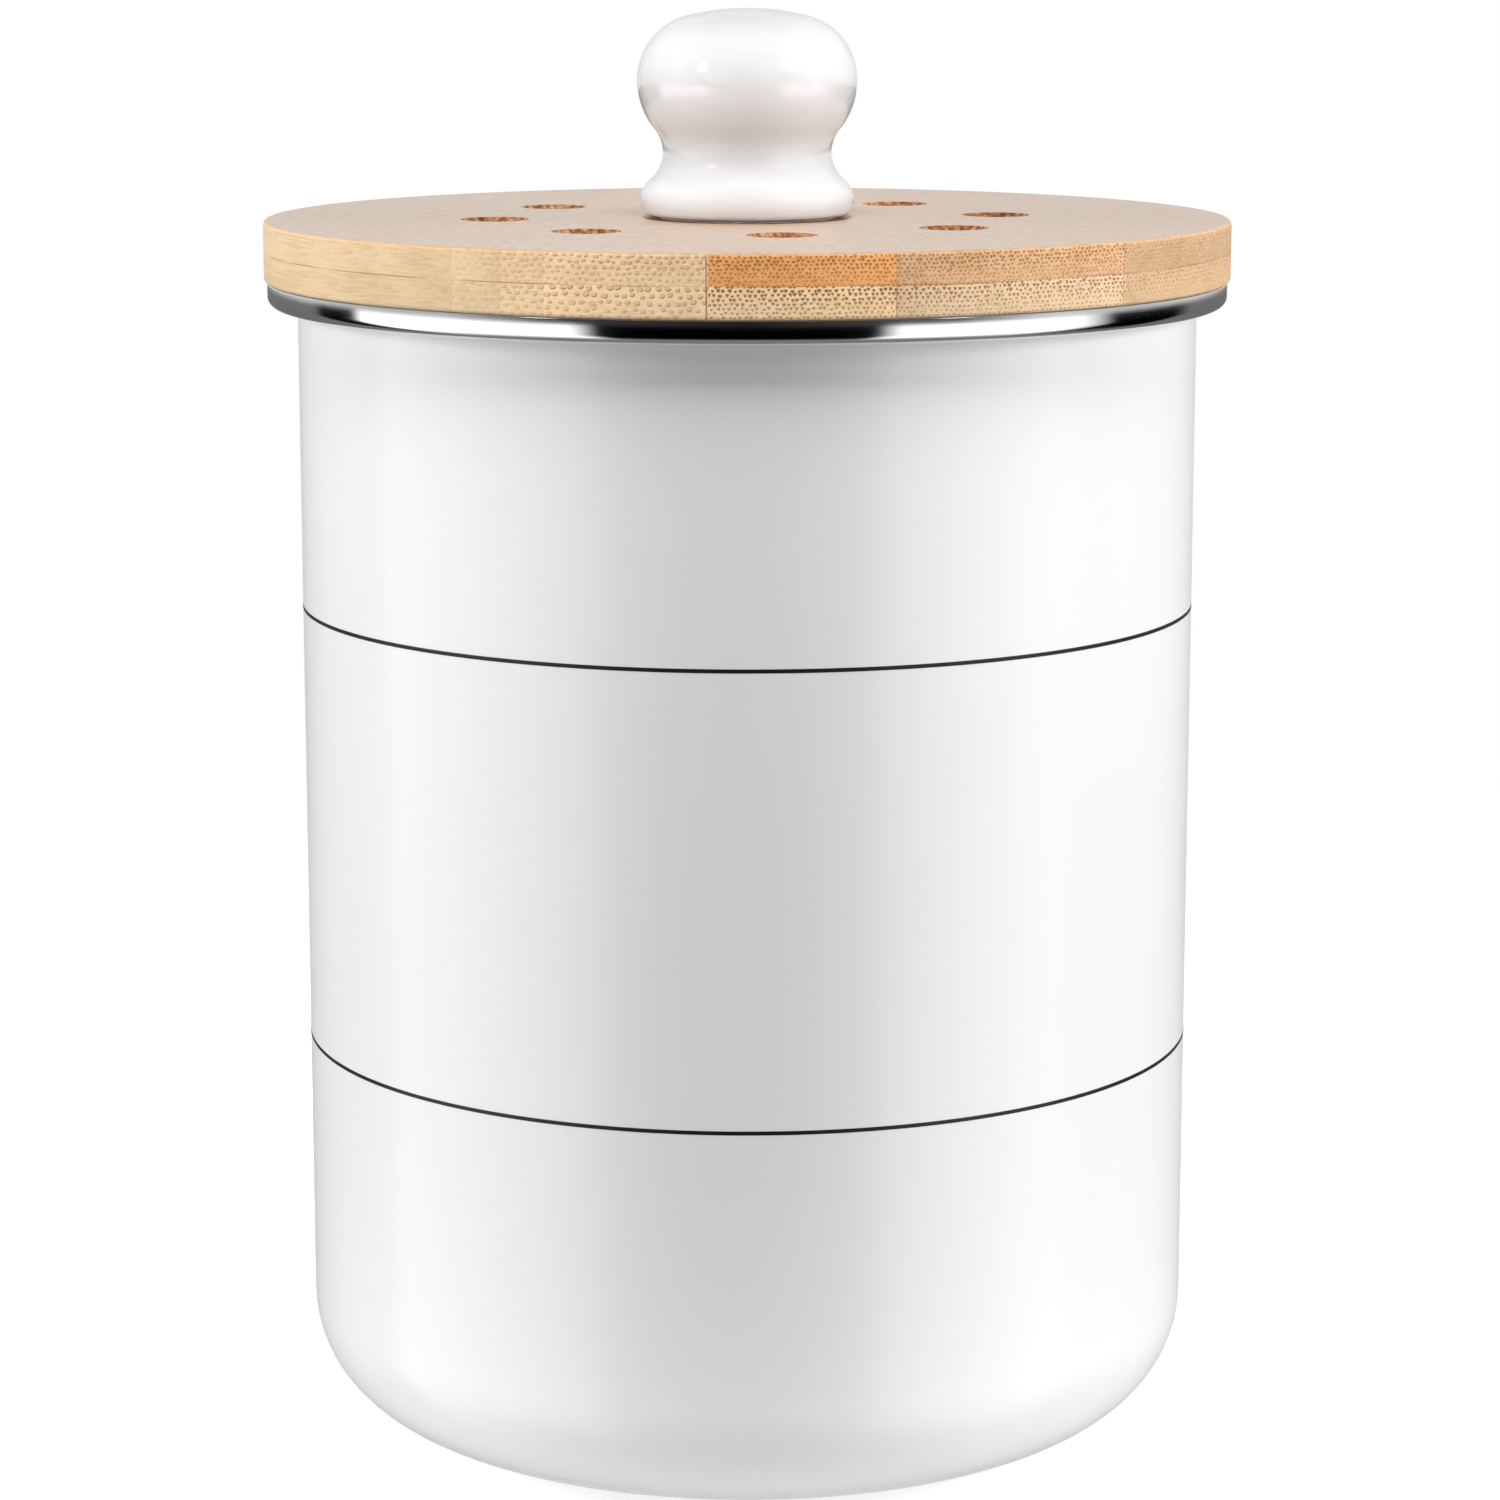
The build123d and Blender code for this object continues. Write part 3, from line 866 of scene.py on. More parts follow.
@dataclass(frozen=True)
class Bamboo:
    """Laminated bamboo: strips side by side, with bundles that show as dots on the end grain.

    The grain runs along one level direction. The bundles stand in staggered rows and run
    straight along it, so they show as dots where an edge cuts them across, as dashes where it
    runs beside them, and hardly at all on the pale sanded faces.

    Its foot and top are the heights of its ply's foot and top. A pair of limits, radii or
    shares belongs to the two ends of a step, or to the two things that are added up.
    """

    name: str
    strips: tuple[Strip, ...]
    foot: float
    top: float
    ply: Ply = Ply.LOWER
    cut: Cut = Cut.SANDED
    bundles: Bundles = Bundles()
    grain_turn: float = 12.0
    span: float = 100.0
    wander_scale: Triple = (60, 5, 60)
    wander_reach: Triple = (0.0006, 0.0, 0.0004)
    bundle: Colour = srgb(130, 70, 20)
    pale_bundle: Colour = srgb(186, 126, 66)
    pale_share: float = 0.8
    core: Colour = srgb(240, 215, 174)
    fine_streaks: Grain = Grain((420, 14, 3200), 4.0)
    broad_streaks: Grain = Grain((150, 5, 150))
    streak_shares: Pair = (0.6, 0.4)
    streak_limits: Pair = (0.62, 0.36)
    edge_streaks: Colour = (0.86, 0.80, 0.70)
    glue: Colour = srgb(150, 100, 58)
    glue_width: float = 0.2
    glue_heart: float = 0.04
    seam_share: float = 0.75
    seam_grain: Grain = Grain((45, 45, 0), 1.0)
    seam_limits: Pair = (0.38, 0.6)
    face: Colour = srgb(187, 163, 143)
    face_share: float = 0.93
    face_streaks: Colour = (0.985, 0.98, 0.975)
    fleck: Colour = srgb(175, 146, 122)
    fleck_grain: Grain = Grain(520.0, 3.0)
    fleck_limits: Pair = (0.46, 0.66)
    fleck_share: float = 0.75
    # Painted highlight: a warm band along the top of the upper board's edge, where the rounded edge
    # catches light. The same colour is the painted glow round the knob and the warm part of the
    # vents' scorch.
    highlight_glow_and_singe: Colour = srgb(222, 168, 104)
    painted_highlight_depth: float = 1.3
    painted_highlight_share: float = 0.35
    # Painted glow near the knob's foot, and painted shadow under the knob, on the upper board's
    # face.
    painted_glow_radii: Pair = (25.0, 20.5)
    painted_glow_share: float = 0.45
    painted_shadow_radii: Pair = (21.0, 20.6)
    painted_shadow_share: float = 0.85
    # The colour of the vents' scorch, and also of the painted shadow under the knob.
    scorch_and_shadow: Colour = srgb(116, 60, 26)
    scorch_grain: Grain = Grain((900, 900, 260), 3.0)
    scorch_limits: Pair = (0.15, 0.68)
    scorch_warmth: float = 0.5
    scorch_depth: float = 1.45
    scorch_fade: float = 0.3
    # Painted light: the paler lower part of the upper board's vent walls, where light comes into
    # the vents.
    painted_light_wall: Colour = srgb(228, 168, 124)
    painted_light_share: float = 0.85
    sheen_grain: Grain = Grain((900, 25, 900))
    roughness: Pair = (0.36, 0.48)
    coat: Pair = (0.0, 0.55)
    coat_roughness: float = 0.26
    specular: Pair = (0.1, 0.5)
    flat_limits: Pair = (0.5, 0.97)
    sheen_relief: float = 0.5
    pit_relief: float = 0.1
    pit_depth: float = 0.00001

    def build(self) -> Material:
        """Makes the material: end grain on the edge, and the sanded face or the drilled wall.

        Returns:
            The material.
        """
        material, graph, shader = surface(self.name, {"Coat Roughness": self.coat_roughness})
        spot = self.warped(graph)
        across, _, height = graph.node("SeparateXYZ", {0: spot}).outputs
        place = graph.plus(graph.math("DIVIDE", across, 2 * self.span * MM), 0.5)
        tone = graph.ramp(place, [(self.share(s), s.tone) for s in self.strips], "CONSTANT")
        traits = [(self.share(s), (s.dots, s.core, 1 / s.pitch)) for s in self.strips]
        traits = graph.node("SeparateColor", {0: graph.ramp(place, traits, "CONSTANT")}).outputs
        rise = graph.step(height, self.foot * MM, self.top * MM)
        dark, pale = self.bundles.show(graph, across, height, tuple(traits), rise)
        sheath = graph.blend(graph.times(traits[1], self.pale_share), self.bundle, self.pale_bundle)
        wood = graph.blend(pale, self.streaks(graph, spot, tone, self.edge_streaks), self.core)
        wood = graph.blend(dark, wood, sheath)
        # Painted highlight along the top of the upper board's edge, where its rounding catches
        # light.
        if self.ply is Ply.UPPER:
            painted_highlight = graph.step(height, (self.top - self.painted_highlight_depth) * MM, self.top * MM)
            wood = graph.blend(graph.times(painted_highlight, self.painted_highlight_share), wood, self.highlight_glow_and_singe)
        wood = graph.blend(self.joints(graph, across, height, spot), wood, self.glue)
        level = graph.node("SeparateXYZ", {0: graph.node("TexCoord").outputs["Normal"]}).outputs[2]
        flat = graph.step(graph.math("ABSOLUTE", level), *self.flat_limits)
        wood = graph.blend(flat, wood, self.sanded(graph, spot, tone))
        if self.cut is Cut.DRILLED:
            wood = self.drilled(graph, spot, height, wood)
        sheen = self.sheen_grain.at(graph, spot)
        raised, sunk = graph.times(sheen, self.sheen_relief), graph.times(dark, self.pit_relief)
        pits = graph.bump(graph.minus(raised, sunk), self.pit_depth)
        graph.finish(shader, wood, graph.blend_numbers(sheen, *self.roughness), pits)
        graph.feed(shader.inputs["Coat Weight"], graph.blend_numbers(flat, *self.coat))
        graph.feed(shader.inputs["Specular IOR Level"], graph.blend_numbers(flat, *self.specular))
        return material

    def share(self, strip: Strip) -> float:
        """Where a strip begins, as a share of the whole span."""
        return max(0.0, (strip.start + self.span) / (2 * self.span))

    def warped(self, graph: Graph) -> Socket:
        """Coordinates across, along and up the grain, which wanders by under a millimetre.

        Args:
            graph: the material's graph.

        Returns:
            The coordinates in metres.
        """
        spot = graph.place(-self.grain_turn)
        inputs = {"Vector": graph.stretch(spot, self.wander_scale), "Scale": 1.0}
        wander = graph.node("TexNoise", inputs).outputs[1]
        offset = graph.node("VectorMath", {0: wander, 1: (0.5, 0.5, 0.5)}, operation="SUBTRACT")
        small = graph.stretch(offset.outputs[0], self.wander_reach)
        return graph.node("VectorMath", {0: spot, 1: small}, operation="ADD").outputs[0]

    def streaks(self, graph: Graph, spot: Socket, tone: Socket, depth: Colour) -> Socket:
        """A tone with fine long streaks and slow clouds.

        Args:
            graph: the material's graph.
            spot: the coordinates from warped().
            tone: the tone between the streaks.
            depth: what the tone is multiplied by where they are darkest.

        Returns:
            The streaked tone.
        """
        fine = graph.times(self.fine_streaks.at(graph, spot), self.streak_shares[0])
        broad = graph.times(self.broad_streaks.at(graph, spot), self.streak_shares[1])
        inputs = {"Factor": 1.0, "A": tone, "B": opaque(depth)}
        shadow = graph.node("Mix", inputs, data_type="RGBA", blend_type="MULTIPLY")
        share = graph.step(graph.plus(fine, broad), *self.streak_limits)
        return graph.blend(share, tone, shadow.outputs["Result"])

    def joints(self, graph: Graph, across: Socket, height: Socket, spot: Socket) -> Socket:
        """Where the thin glue lines run: at the strips' edges, and broken where the plies meet.

        Args:
            graph: the material's graph.
            across: the place across the grain.
            height: the height.
            spot: the coordinates from warped().

        Returns:
            The glue's share.
        """
        broken = graph.step(self.seam_grain.at(graph, spot), *self.seam_limits)
        level = self.foot if self.ply is Ply.UPPER else self.top
        seam = graph.step(graph.gap(height, level * MM), self.glue_width * MM, 0.0)
        line = graph.times(seam, graph.times(broken, self.seam_share))
        for strip in self.strips[1:]:
            gap = graph.gap(across, strip.start * MM)
            edge = graph.step(gap, self.glue_width * MM, self.glue_heart * MM)
            line = graph.most(line, graph.times(edge, strip.line))
        return line

    def sanded(self, graph: Graph, spot: Socket, tone: Socket) -> Socket:
        """The pale sanded face, with soft flecks; the upper ply's has a painted glow and a painted
        shadow round the knob.

        Args:
            graph: the material's graph.
            spot: the coordinates from warped().
            tone: the strips' tones.

        Returns:
            The face's colour.
        """
        even = graph.blend(self.face_share, tone, self.face)
        plain = self.streaks(graph, spot, even, self.face_streaks)
        fleck = graph.step(self.fleck_grain.at(graph, spot), *self.fleck_limits)
        plain = graph.blend(graph.times(fleck, self.fleck_share), plain, self.fleck)
        return self.paint_knob_glow_and_shadow(graph, plain) if self.ply is Ply.UPPER else plain

    def paint_knob_glow_and_shadow(self, graph: Graph, plain: Socket) -> Socket:
        """The face with a painted warm glow near the knob's foot and a painted dark shadow under
        it.

        Args:
            graph: the material's graph.
            plain: the face's colour elsewhere.

        Returns:
            The face's colour.
        """
        x, y, _ = graph.node("SeparateXYZ", {0: graph.place()}).outputs
        reach = graph.length(x, y)
        # A painted warm glow near the knob's foot, then a painted shadow under it.
        for radii, share, colour in (
            (self.painted_glow_radii, self.painted_glow_share, self.highlight_glow_and_singe),
            (self.painted_shadow_radii, self.painted_shadow_share, self.scorch_and_shadow),
        ):
            near = graph.step(reach, radii[0] * MM, radii[1] * MM)
            plain = graph.blend(graph.times(near, share), plain, colour)
        return plain

    def drilled(self, graph: Graph, spot: Socket, height: Socket, wood: Socket) -> Socket:
        """A vent's wall, scorched by the drill; on the upper ply its lower part is paler, a painted
        glow of light that comes into the vent.

        Args:
            graph: the material's graph.
            spot: the coordinates from warped().
            height: the height.
            wood: the wood's colour elsewhere.

        Returns:
            The wall's colour.
        """
        burnt = graph.step(self.scorch_grain.at(graph, spot), *self.scorch_limits)
        wood = graph.blend(burnt, graph.blend(self.scorch_warmth, wood, self.highlight_glow_and_singe), self.scorch_and_shadow)
        if self.ply is Ply.LOWER:
            return wood
        # Painted light: below its scorched top, the upper board's wall is paler where light comes
        # into the vent.
        end = self.top - self.scorch_depth
        glow = graph.step(height, end * MM, (end - self.scorch_fade) * MM)
        return graph.blend(graph.times(glow, self.painted_light_share), wood, self.painted_light_wall)


# The caddy


@dataclass
class Bin:
    """The coated bin with its pinstripes, and the polished band folded round its mouth."""

    radius: float = 89.0
    wall: float = 0.8
    mouth: float = 229.9
    base_corner: float = 24.0
    base_land: float = 14.0
    panel_rise: float = 1.6
    panel_slope: float = 3.0
    panel_bend: float = 1.0
    flange_bend: float = 1.0
    hem_bend: float = 0.4
    bend_steps: int = 16
    band_radius: float = 94.9
    band_height: float = 4.8
    band_sheet: float = 0.5
    band_skirt: float = 3.8
    band_rounds: Triple = (1.2, 0.3, 1.95)
    band_steps: int = 12
    fold_gap: float = 0.1
    stripe_levels: Pair = (165.6, 78.7)
    stripe_width: float = 0.75
    stripe_proud: float = 0.03
    stripe_sunk: float = 0.1
    columns: int = 288

    def shell(self) -> Mesh:
        """The drawn can: its outside from the centre of the base to the hem, and back inside.

        Returns:
            The mesh, a profile of folded sheet carried round the axis.
        """
        panel = self.radius - self.base_corner - self.base_land - self.panel_slope
        flange_top = self.mouth - self.band_sheet - self.fold_gap
        hem = self.band_radius - self.band_sheet - self.fold_gap - self.wall
        corners = (
            (0.0, self.panel_rise),
            (panel, self.panel_rise),
            (panel + self.panel_slope, 0.0),
            (self.radius, 0.0),
            (self.radius, flange_top - self.wall),
            (hem, flange_top - self.wall),
            (hem, self.mouth - self.band_height + self.band_rounds[2]),
        )
        low_bends = (self.panel_bend, self.panel_bend, self.base_corner)
        bends = (*low_bends, self.flange_bend, self.hem_bend)
        outline = folded_sheet(corners, bends, self.wall, self.bend_steps)
        return lathed("coated_bin", outline, self.columns)

    def band(self) -> Mesh:
        """The rim band: from inside the mouth over the top, down its face and in under the flange.

        Returns:
            The mesh.
        """
        inside = self.radius - self.wall - self.fold_gap - self.band_sheet
        low = self.mouth - self.band_height
        corners = (
            (inside, self.mouth - self.band_skirt),
            (inside, self.mouth),
            (self.band_radius, self.mouth),
            (self.band_radius, low),
            (self.radius + self.fold_gap, low),
        )
        outline = folded_sheet(corners, self.band_rounds, -self.band_sheet, self.band_steps)
        return lathed("polished_rim", outline, self.columns, close=True)

    def stripe(self, name: str, level: float) -> Mesh:
        """A thin printed ring round the wall, a little proud of it.

        Args:
            name: the mesh's name.
            level: the height of its middle.

        Returns:
            The mesh.
        """
        inner, outer = self.radius - self.stripe_sunk, self.radius + self.stripe_proud
        low, high = level - self.stripe_width / 2, level + self.stripe_width / 2
        outline = np.array([(inner, low), (outer, low), (outer, high), (inner, high)])
        return lathed(name, outline, self.columns, close=True)

    def build(self) -> None:
        """Makes the bin's pieces."""
        piece(self.shell(), [CoatedSteel().build()], "bin", ["bin_shell"])
        piece(self.band(), [PolishedSteel().build()], "bin", ["rim_band"])
        ink = PrintedInk().build()
        for name, level in zip(("upper_pinstripe", "lower_pinstripe"), self.stripe_levels):
            piece(self.stripe(name, level), [ink], "bin")


@dataclass(frozen=True)
class LidSizes:
    """Heights and radii that the lid's boards share."""

    radius: float = 95.5
    plug_foot: float = 221.9
    foot: float = 229.9
    seam: float = 235.9
    top: float = 241.8
    edge_round: float = 0.8
    vent_count: int = 8
    vent_circle: float = 50.0
    vent_radius: float = 6.0
    vent_turn: float = -82.5
    vent_chamfer: float = 0.8
    screw_hole: float = 2.75
    hub: float = 20.0


@dataclass
class Board:
    """One bamboo disc of the lid, with its ring of vents.

    Round each vent the flat faces are a ruled grid, from the vent's circle to the border of its
    sector. The border runs along the hub, out along a radius, round the edge and back.
    """

    sizes: LidSizes
    name: str
    low: float
    high: float
    low_round: float
    high_round: float
    chamfer: float
    arc_steps: int = 36
    side_steps: int = 20
    round_steps: int = 6
    rows: int = 6

    def border(self, middle: float, outer: float) -> np.ndarray:
        """The border of one vent's sector.

        Args:
            middle: the turn of the sector's middle, in radians.
            outer: the radius of its outer arc.

        Returns:
            Its points in the plane, once round.
        """
        half, hub = pi / self.sizes.vent_count, self.sizes.hub
        arcs, sides = self.arc_steps, self.side_steps
        swing = np.linspace(middle - half, middle + half, arcs + 1)
        reach = np.linspace(hub, outer, sides + 1)
        turns = [swing, np.full(sides, swing[-1]), swing[::-1][1:], np.full(sides - 1, swing[0])]
        radii = [np.full(arcs + 1, hub), reach[1:], np.full(arcs, outer), reach[::-1][1:-1]]
        turn, radius = np.concatenate(turns), np.concatenate(radii)
        return np.stack([radius * np.cos(turn), radius * np.sin(turn)], axis=1)

    def vent(self, middle: float, border: np.ndarray, radius: float) -> np.ndarray:
        """The vent's circle, with one point towards each point of the border.

        Args:
            middle: the turn of the vent's centre, in radians.
            border: the border's points.
            radius: the circle's radius.

        Returns:
            Its points in the plane.
        """
        centre = self.sizes.vent_circle * np.array([np.cos(middle), np.sin(middle)])
        way = border - centre
        return centre + radius * way / np.linalg.norm(way, axis=1)[:, None]

    def mesh(self) -> Mesh:
        """The whole board.

        Returns:
            The mesh; the walls of its vents take the drilled finish.
        """
        skin = Skin()
        for number in range(self.sizes.vent_count):
            middle = radians(self.sizes.vent_turn) + 2 * pi * number / self.sizes.vent_count
            top_border = self.border(middle, self.sizes.radius - self.high_round)
            low_border = self.border(middle, self.sizes.radius - self.low_round)
            wide = self.vent(middle, top_border, self.sizes.vent_radius + self.chamfer)
            narrow = self.vent(middle, top_border, self.sizes.vent_radius)
            skin.add(between(at(wide, self.high), at(top_border, self.high), self.rows))
            wall = [at(narrow, self.high - self.chamfer), at(narrow, self.low)]
            if self.chamfer:
                wall = [at(wide, self.high), *wall]
            skin.add(np.array(wall), finish=Cut.DRILLED)
            skin.add(between(at(narrow, self.low), at(low_border, self.low), self.rows))
        for ring in self.rims():
            skin.add(ring)
        return skin.mesh(self.name)

    def rims(self) -> list[np.ndarray]:
        """The edge of the board, and the disc inside the vents with the screw's hole.

        Returns:
            Their grids, turned so that they meet the vents' borders point to point.
        """
        radius, hub, hole = self.sizes.radius, self.sizes.hub, self.sizes.screw_hole
        corners = (
            (radius - self.low_round, self.low),
            (radius, self.low),
            (radius, self.high),
            (radius - self.high_round, self.high),
        )
        edge = rounded(corners, (self.low_round, self.high_round), self.round_steps)
        middle = np.array([(hub, self.high), (hole, self.high), (hole, self.low), (hub, self.low)])
        columns = self.arc_steps * self.sizes.vent_count
        turn = radians(self.sizes.vent_turn) - pi / self.sizes.vent_count
        cos, sin = np.cos(turn), np.sin(turn)
        spin = np.array([[cos, sin, 0], [-sin, cos, 0], [0, 0, 1]])
        return [turned(profile, columns) @ spin for profile in (edge, middle)]


def at(points: np.ndarray, height: float) -> np.ndarray:
    """Points of the plane at a height."""
    return np.concatenate([points, np.full((len(points), 1), height)], axis=1)


@dataclass
class Lid:
    """The two bamboo boards and the plug under them, with the seal round it.

    Its strips go from left to right across the grain, and the plug has the lower board's.
    """

    nodes: Nodes
    sizes: LidSizes = LidSizes()
    upper_strips: tuple[Strip, ...] = (
        Strip(-100.0, srgb(217, 192, 157), 0.12, 0.4, 2.4),
        Strip(-68.8, srgb(226, 200, 164), 0.35, 0.6, 1.3),
        Strip(-61.5, srgb(233, 205, 168), 0.65, 0.6, 1.3),
        Strip(-54.5, srgb(241, 211, 174), 0.9, 0.6, 1.3),
        Strip(-26.9, srgb(238, 174, 114), 0.8, 0.0, 0.9, 0.8),
        Strip(7.0, srgb(216, 176, 137), 0.78, 0.0, 0.9, 0.3),
        Strip(54.3, srgb(197, 165, 130), 0.4, 0.0, 0.9, 0.5),
    )
    lower_strips: tuple[Strip, ...] = (
        Strip(-100.0, srgb(217, 192, 157), 0.12, 0.4, 2.4),
        Strip(-68.8, srgb(226, 200, 164), 0.35, 0.65, 1.6),
        Strip(-61.5, srgb(238, 210, 172), 0.65, 0.65, 1.6),
        Strip(-54.5, srgb(251, 222, 182), 0.9, 0.65, 1.6),
        Strip(-26.9, srgb(254, 221, 178), 0.92, 0.0, 1.0, 0.9),
        Strip(7.0, srgb(226, 198, 165), 0.85, 0.0, 1.0, 0.5),
        Strip(54.3, srgb(205, 172, 136), 0.55, 0.0, 1.0, 0.6),
    )
    seal_outline: tuple[Point, ...] = (
        (82.0, 228.5), (82.0, 224.1), (84.0, 224.1), (84.0, 224.6),
        (87.3, 225.15), (87.3, 225.6), (84.0, 225.5), (84.0, 226.8),
        (87.3, 227.35), (87.3, 227.8), (84.0, 227.7), (84.0, 228.5),
    )
    seal_rounds: tuple[float, ...] = (0.1, 0.3, 0.1, 0.2, 0.2, 0.1, 0.1, 0.2, 0.2, 0.1)
    seal_steps: int = 3
    seal_columns: int = 240

    def board(self, ply: Ply) -> None:
        """Makes one board; only the lower one's bundles have pale rings.

        Args:
            ply: which board it is.
        """
        s = self.sizes
        if ply is Ply.UPPER:
            made = Board(s, "lid_top_board", s.seam, s.top, 0.0, s.edge_round, s.vent_chamfer)
            strips, bundles = self.upper_strips, Bundles(halo=0.0)
        else:
            made = Board(s, "lid_low_board", s.foot, s.seam, s.edge_round, 0.0, 0.0)
            strips, bundles = self.lower_strips, Bundles()
        woods = []
        for cut in Cut:
            name = f"bamboo_{ply.value}_{cut.name.lower()}"
            wood = Bamboo(name, strips, made.low, made.high, ply, cut, bundles)
            woods.append(wood.build())
        piece(made.mesh(), woods, "lid", [f"lid_{ply.value}_board"])

    def build(self) -> None:
        """Makes the lid's pieces."""
        for ply in Ply:
            self.board(ply)
        plug = Bamboo("bamboo_plug", self.lower_strips, self.sizes.plug_foot, self.sizes.foot)
        dress(self.nodes["lid_plug"], plug.build())
        outline = rounded(self.seal_outline, self.seal_rounds, self.seal_steps)
        seal = lathed("mouth_seal", outline, self.seal_columns, close=True)
        piece(seal, [Silicone().build()], "lid", ["lid_seal"])


@dataclass
class Knob:
    """The glazed knob, its pad, and the insert, washer and screw that hold it."""

    nodes: Nodes
    base: float = 242.2
    height: float = 40.5
    head_radius: float = 21.75
    head_share: float = 0.6543
    shoulder_share: float = 0.3185
    under_share: float = 0.3778
    neck_radius: float = 16.7
    neck_share: float = 0.3062
    foot_radius: float = 21.1
    foot_height: float = 3.1
    foot_round: float = 1.0
    foot_share: float = 0.9
    foot_flare: float = 0.05
    recess_radius: float = 17.65
    recess: float = 0.6
    bore_radius: float = 4.5
    bore_depth: float = 20.5
    arc_steps: int = 24
    foot_steps: int = 16
    edge_steps: int = 6
    columns: int = 144
    brass: Finish = TurnedMetal("brass", (0.78, 0.60, 0.32), (0.22, 0.36))
    zinc: Finish = TurnedMetal("screw_steel", (0.62, 0.62, 0.63), (0.24, 0.38))

    def outline(self) -> np.ndarray:
        """The knob's outline from its top to its foot: five arcs, each in line with the next.

        Two arcs that meet in line have their centres in line with the meeting point, so the
        crown's, neck's and foot's radii follow from the widths and heights given. The foot's
        edge is the curve (1 - w)^2 a + 2 w (1 - w) b + w^2 c, with w from 0 to 1.

        Returns:
            Rows of radius and height above the knob's base.
        """
        head, neck = self.head_share * self.height, self.neck_share * self.height
        shoulder, under = self.shoulder_share * self.height, self.under_share * self.height
        head_centre = np.array([self.head_radius - shoulder, head])
        under_centre = np.array([self.head_radius - under, head])
        rise = self.height - head
        crown = (head_centre[0] ** 2 + rise**2 - shoulder**2) / (2 * (rise - shoulder))
        crown_centre = np.array([0.0, self.height - crown])
        offset, drop = self.neck_radius - under_centre[0], head - neck
        waist = (offset**2 + drop**2 - under**2) / (2 * (under - offset))
        waist_centre = np.array([self.neck_radius + waist, neck])
        out, down = waist_centre[0] - self.foot_radius, neck - self.foot_height
        foot = (out**2 + down**2 - waist**2) / (2 * (waist - out))
        foot_centre = np.array([self.foot_radius - foot, self.foot_height])
        edge = foot_centre[0] + sqrt(foot**2 - self.foot_height**2)
        top = np.array([0.0, self.height])
        widest = np.array([self.head_radius, head])
        crown_end = crown_centre + crown * unit(head_centre - crown_centre)
        under_end = under_centre + under * unit(waist_centre - under_centre)
        waist_end = waist_centre + waist * unit(foot_centre - waist_centre)
        fall = self.foot_height - self.foot_round * self.foot_share
        foot_end = foot_centre + np.array([sqrt(foot**2 - fall**2), -fall])
        arcs = [
            arc(crown_centre, top, crown_end, self.arc_steps),
            arc(head_centre, crown_end, widest, self.arc_steps)[1:],
            arc(under_centre, widest, under_end, self.arc_steps)[1:],
            arc(waist_centre, under_end, waist_end, self.arc_steps)[1:],
            arc(foot_centre, waist_end, foot_end, self.foot_steps)[1:],
        ]
        w = np.linspace(0.0, 1.0, self.edge_steps + 1)[1:, None]
        corner = np.array([edge + self.foot_flare, 0.0])
        end = np.array([edge - self.foot_round, 0.0])
        arcs.append((1 - w) ** 2 * foot_end + 2 * w * (1 - w) * corner + w**2 * end)
        return np.concatenate(arcs)

    def mesh(self) -> Mesh:
        """The knob: its outline, then under the foot, the pad's recess and the insert's bore.

        Returns:
            The mesh.
        """
        under = (
            (self.recess_radius, 0.0),
            (self.recess_radius, self.recess),
            (self.bore_radius, self.recess),
            (self.bore_radius, self.bore_depth),
            (0.0, self.bore_depth),
        )
        profile = np.concatenate([self.outline(), np.array(under)]) + (0.0, self.base)
        return lathed("glazed_knob", profile, self.columns)

    def build(self) -> None:
        """Makes the knob and dresses its fixing."""
        piece(self.mesh(), [WhiteGlaze().build()], "lid", ["knob"])
        dress(self.nodes["knob_pad"], bpy.data.materials["silicone"])
        dress(self.nodes["knob_insert"], self.brass.build())
        zinc = self.zinc.build()
        for name in ("knob_washer", "knob_screw", "filter_ring_screws"):
            dress(self.nodes[name], zinc)


@dataclass
class Bucket:
    """The lift-out bucket and its bail."""

    nodes: Nodes
    grey: Finish = MouldedPlastic("bucket_plastic", (0.42, 0.44, 0.45), (0.36, 0.48))
    dark_grey: Finish = MouldedPlastic("bail_plastic", (0.13, 0.14, 0.15), (0.34, 0.46))

    def build(self) -> None:
        """Dresses the bucket's pieces."""
        dress(self.nodes["inner_bucket"], self.grey.build())
        dress(self.nodes["bucket_bail"], self.dark_grey.build())


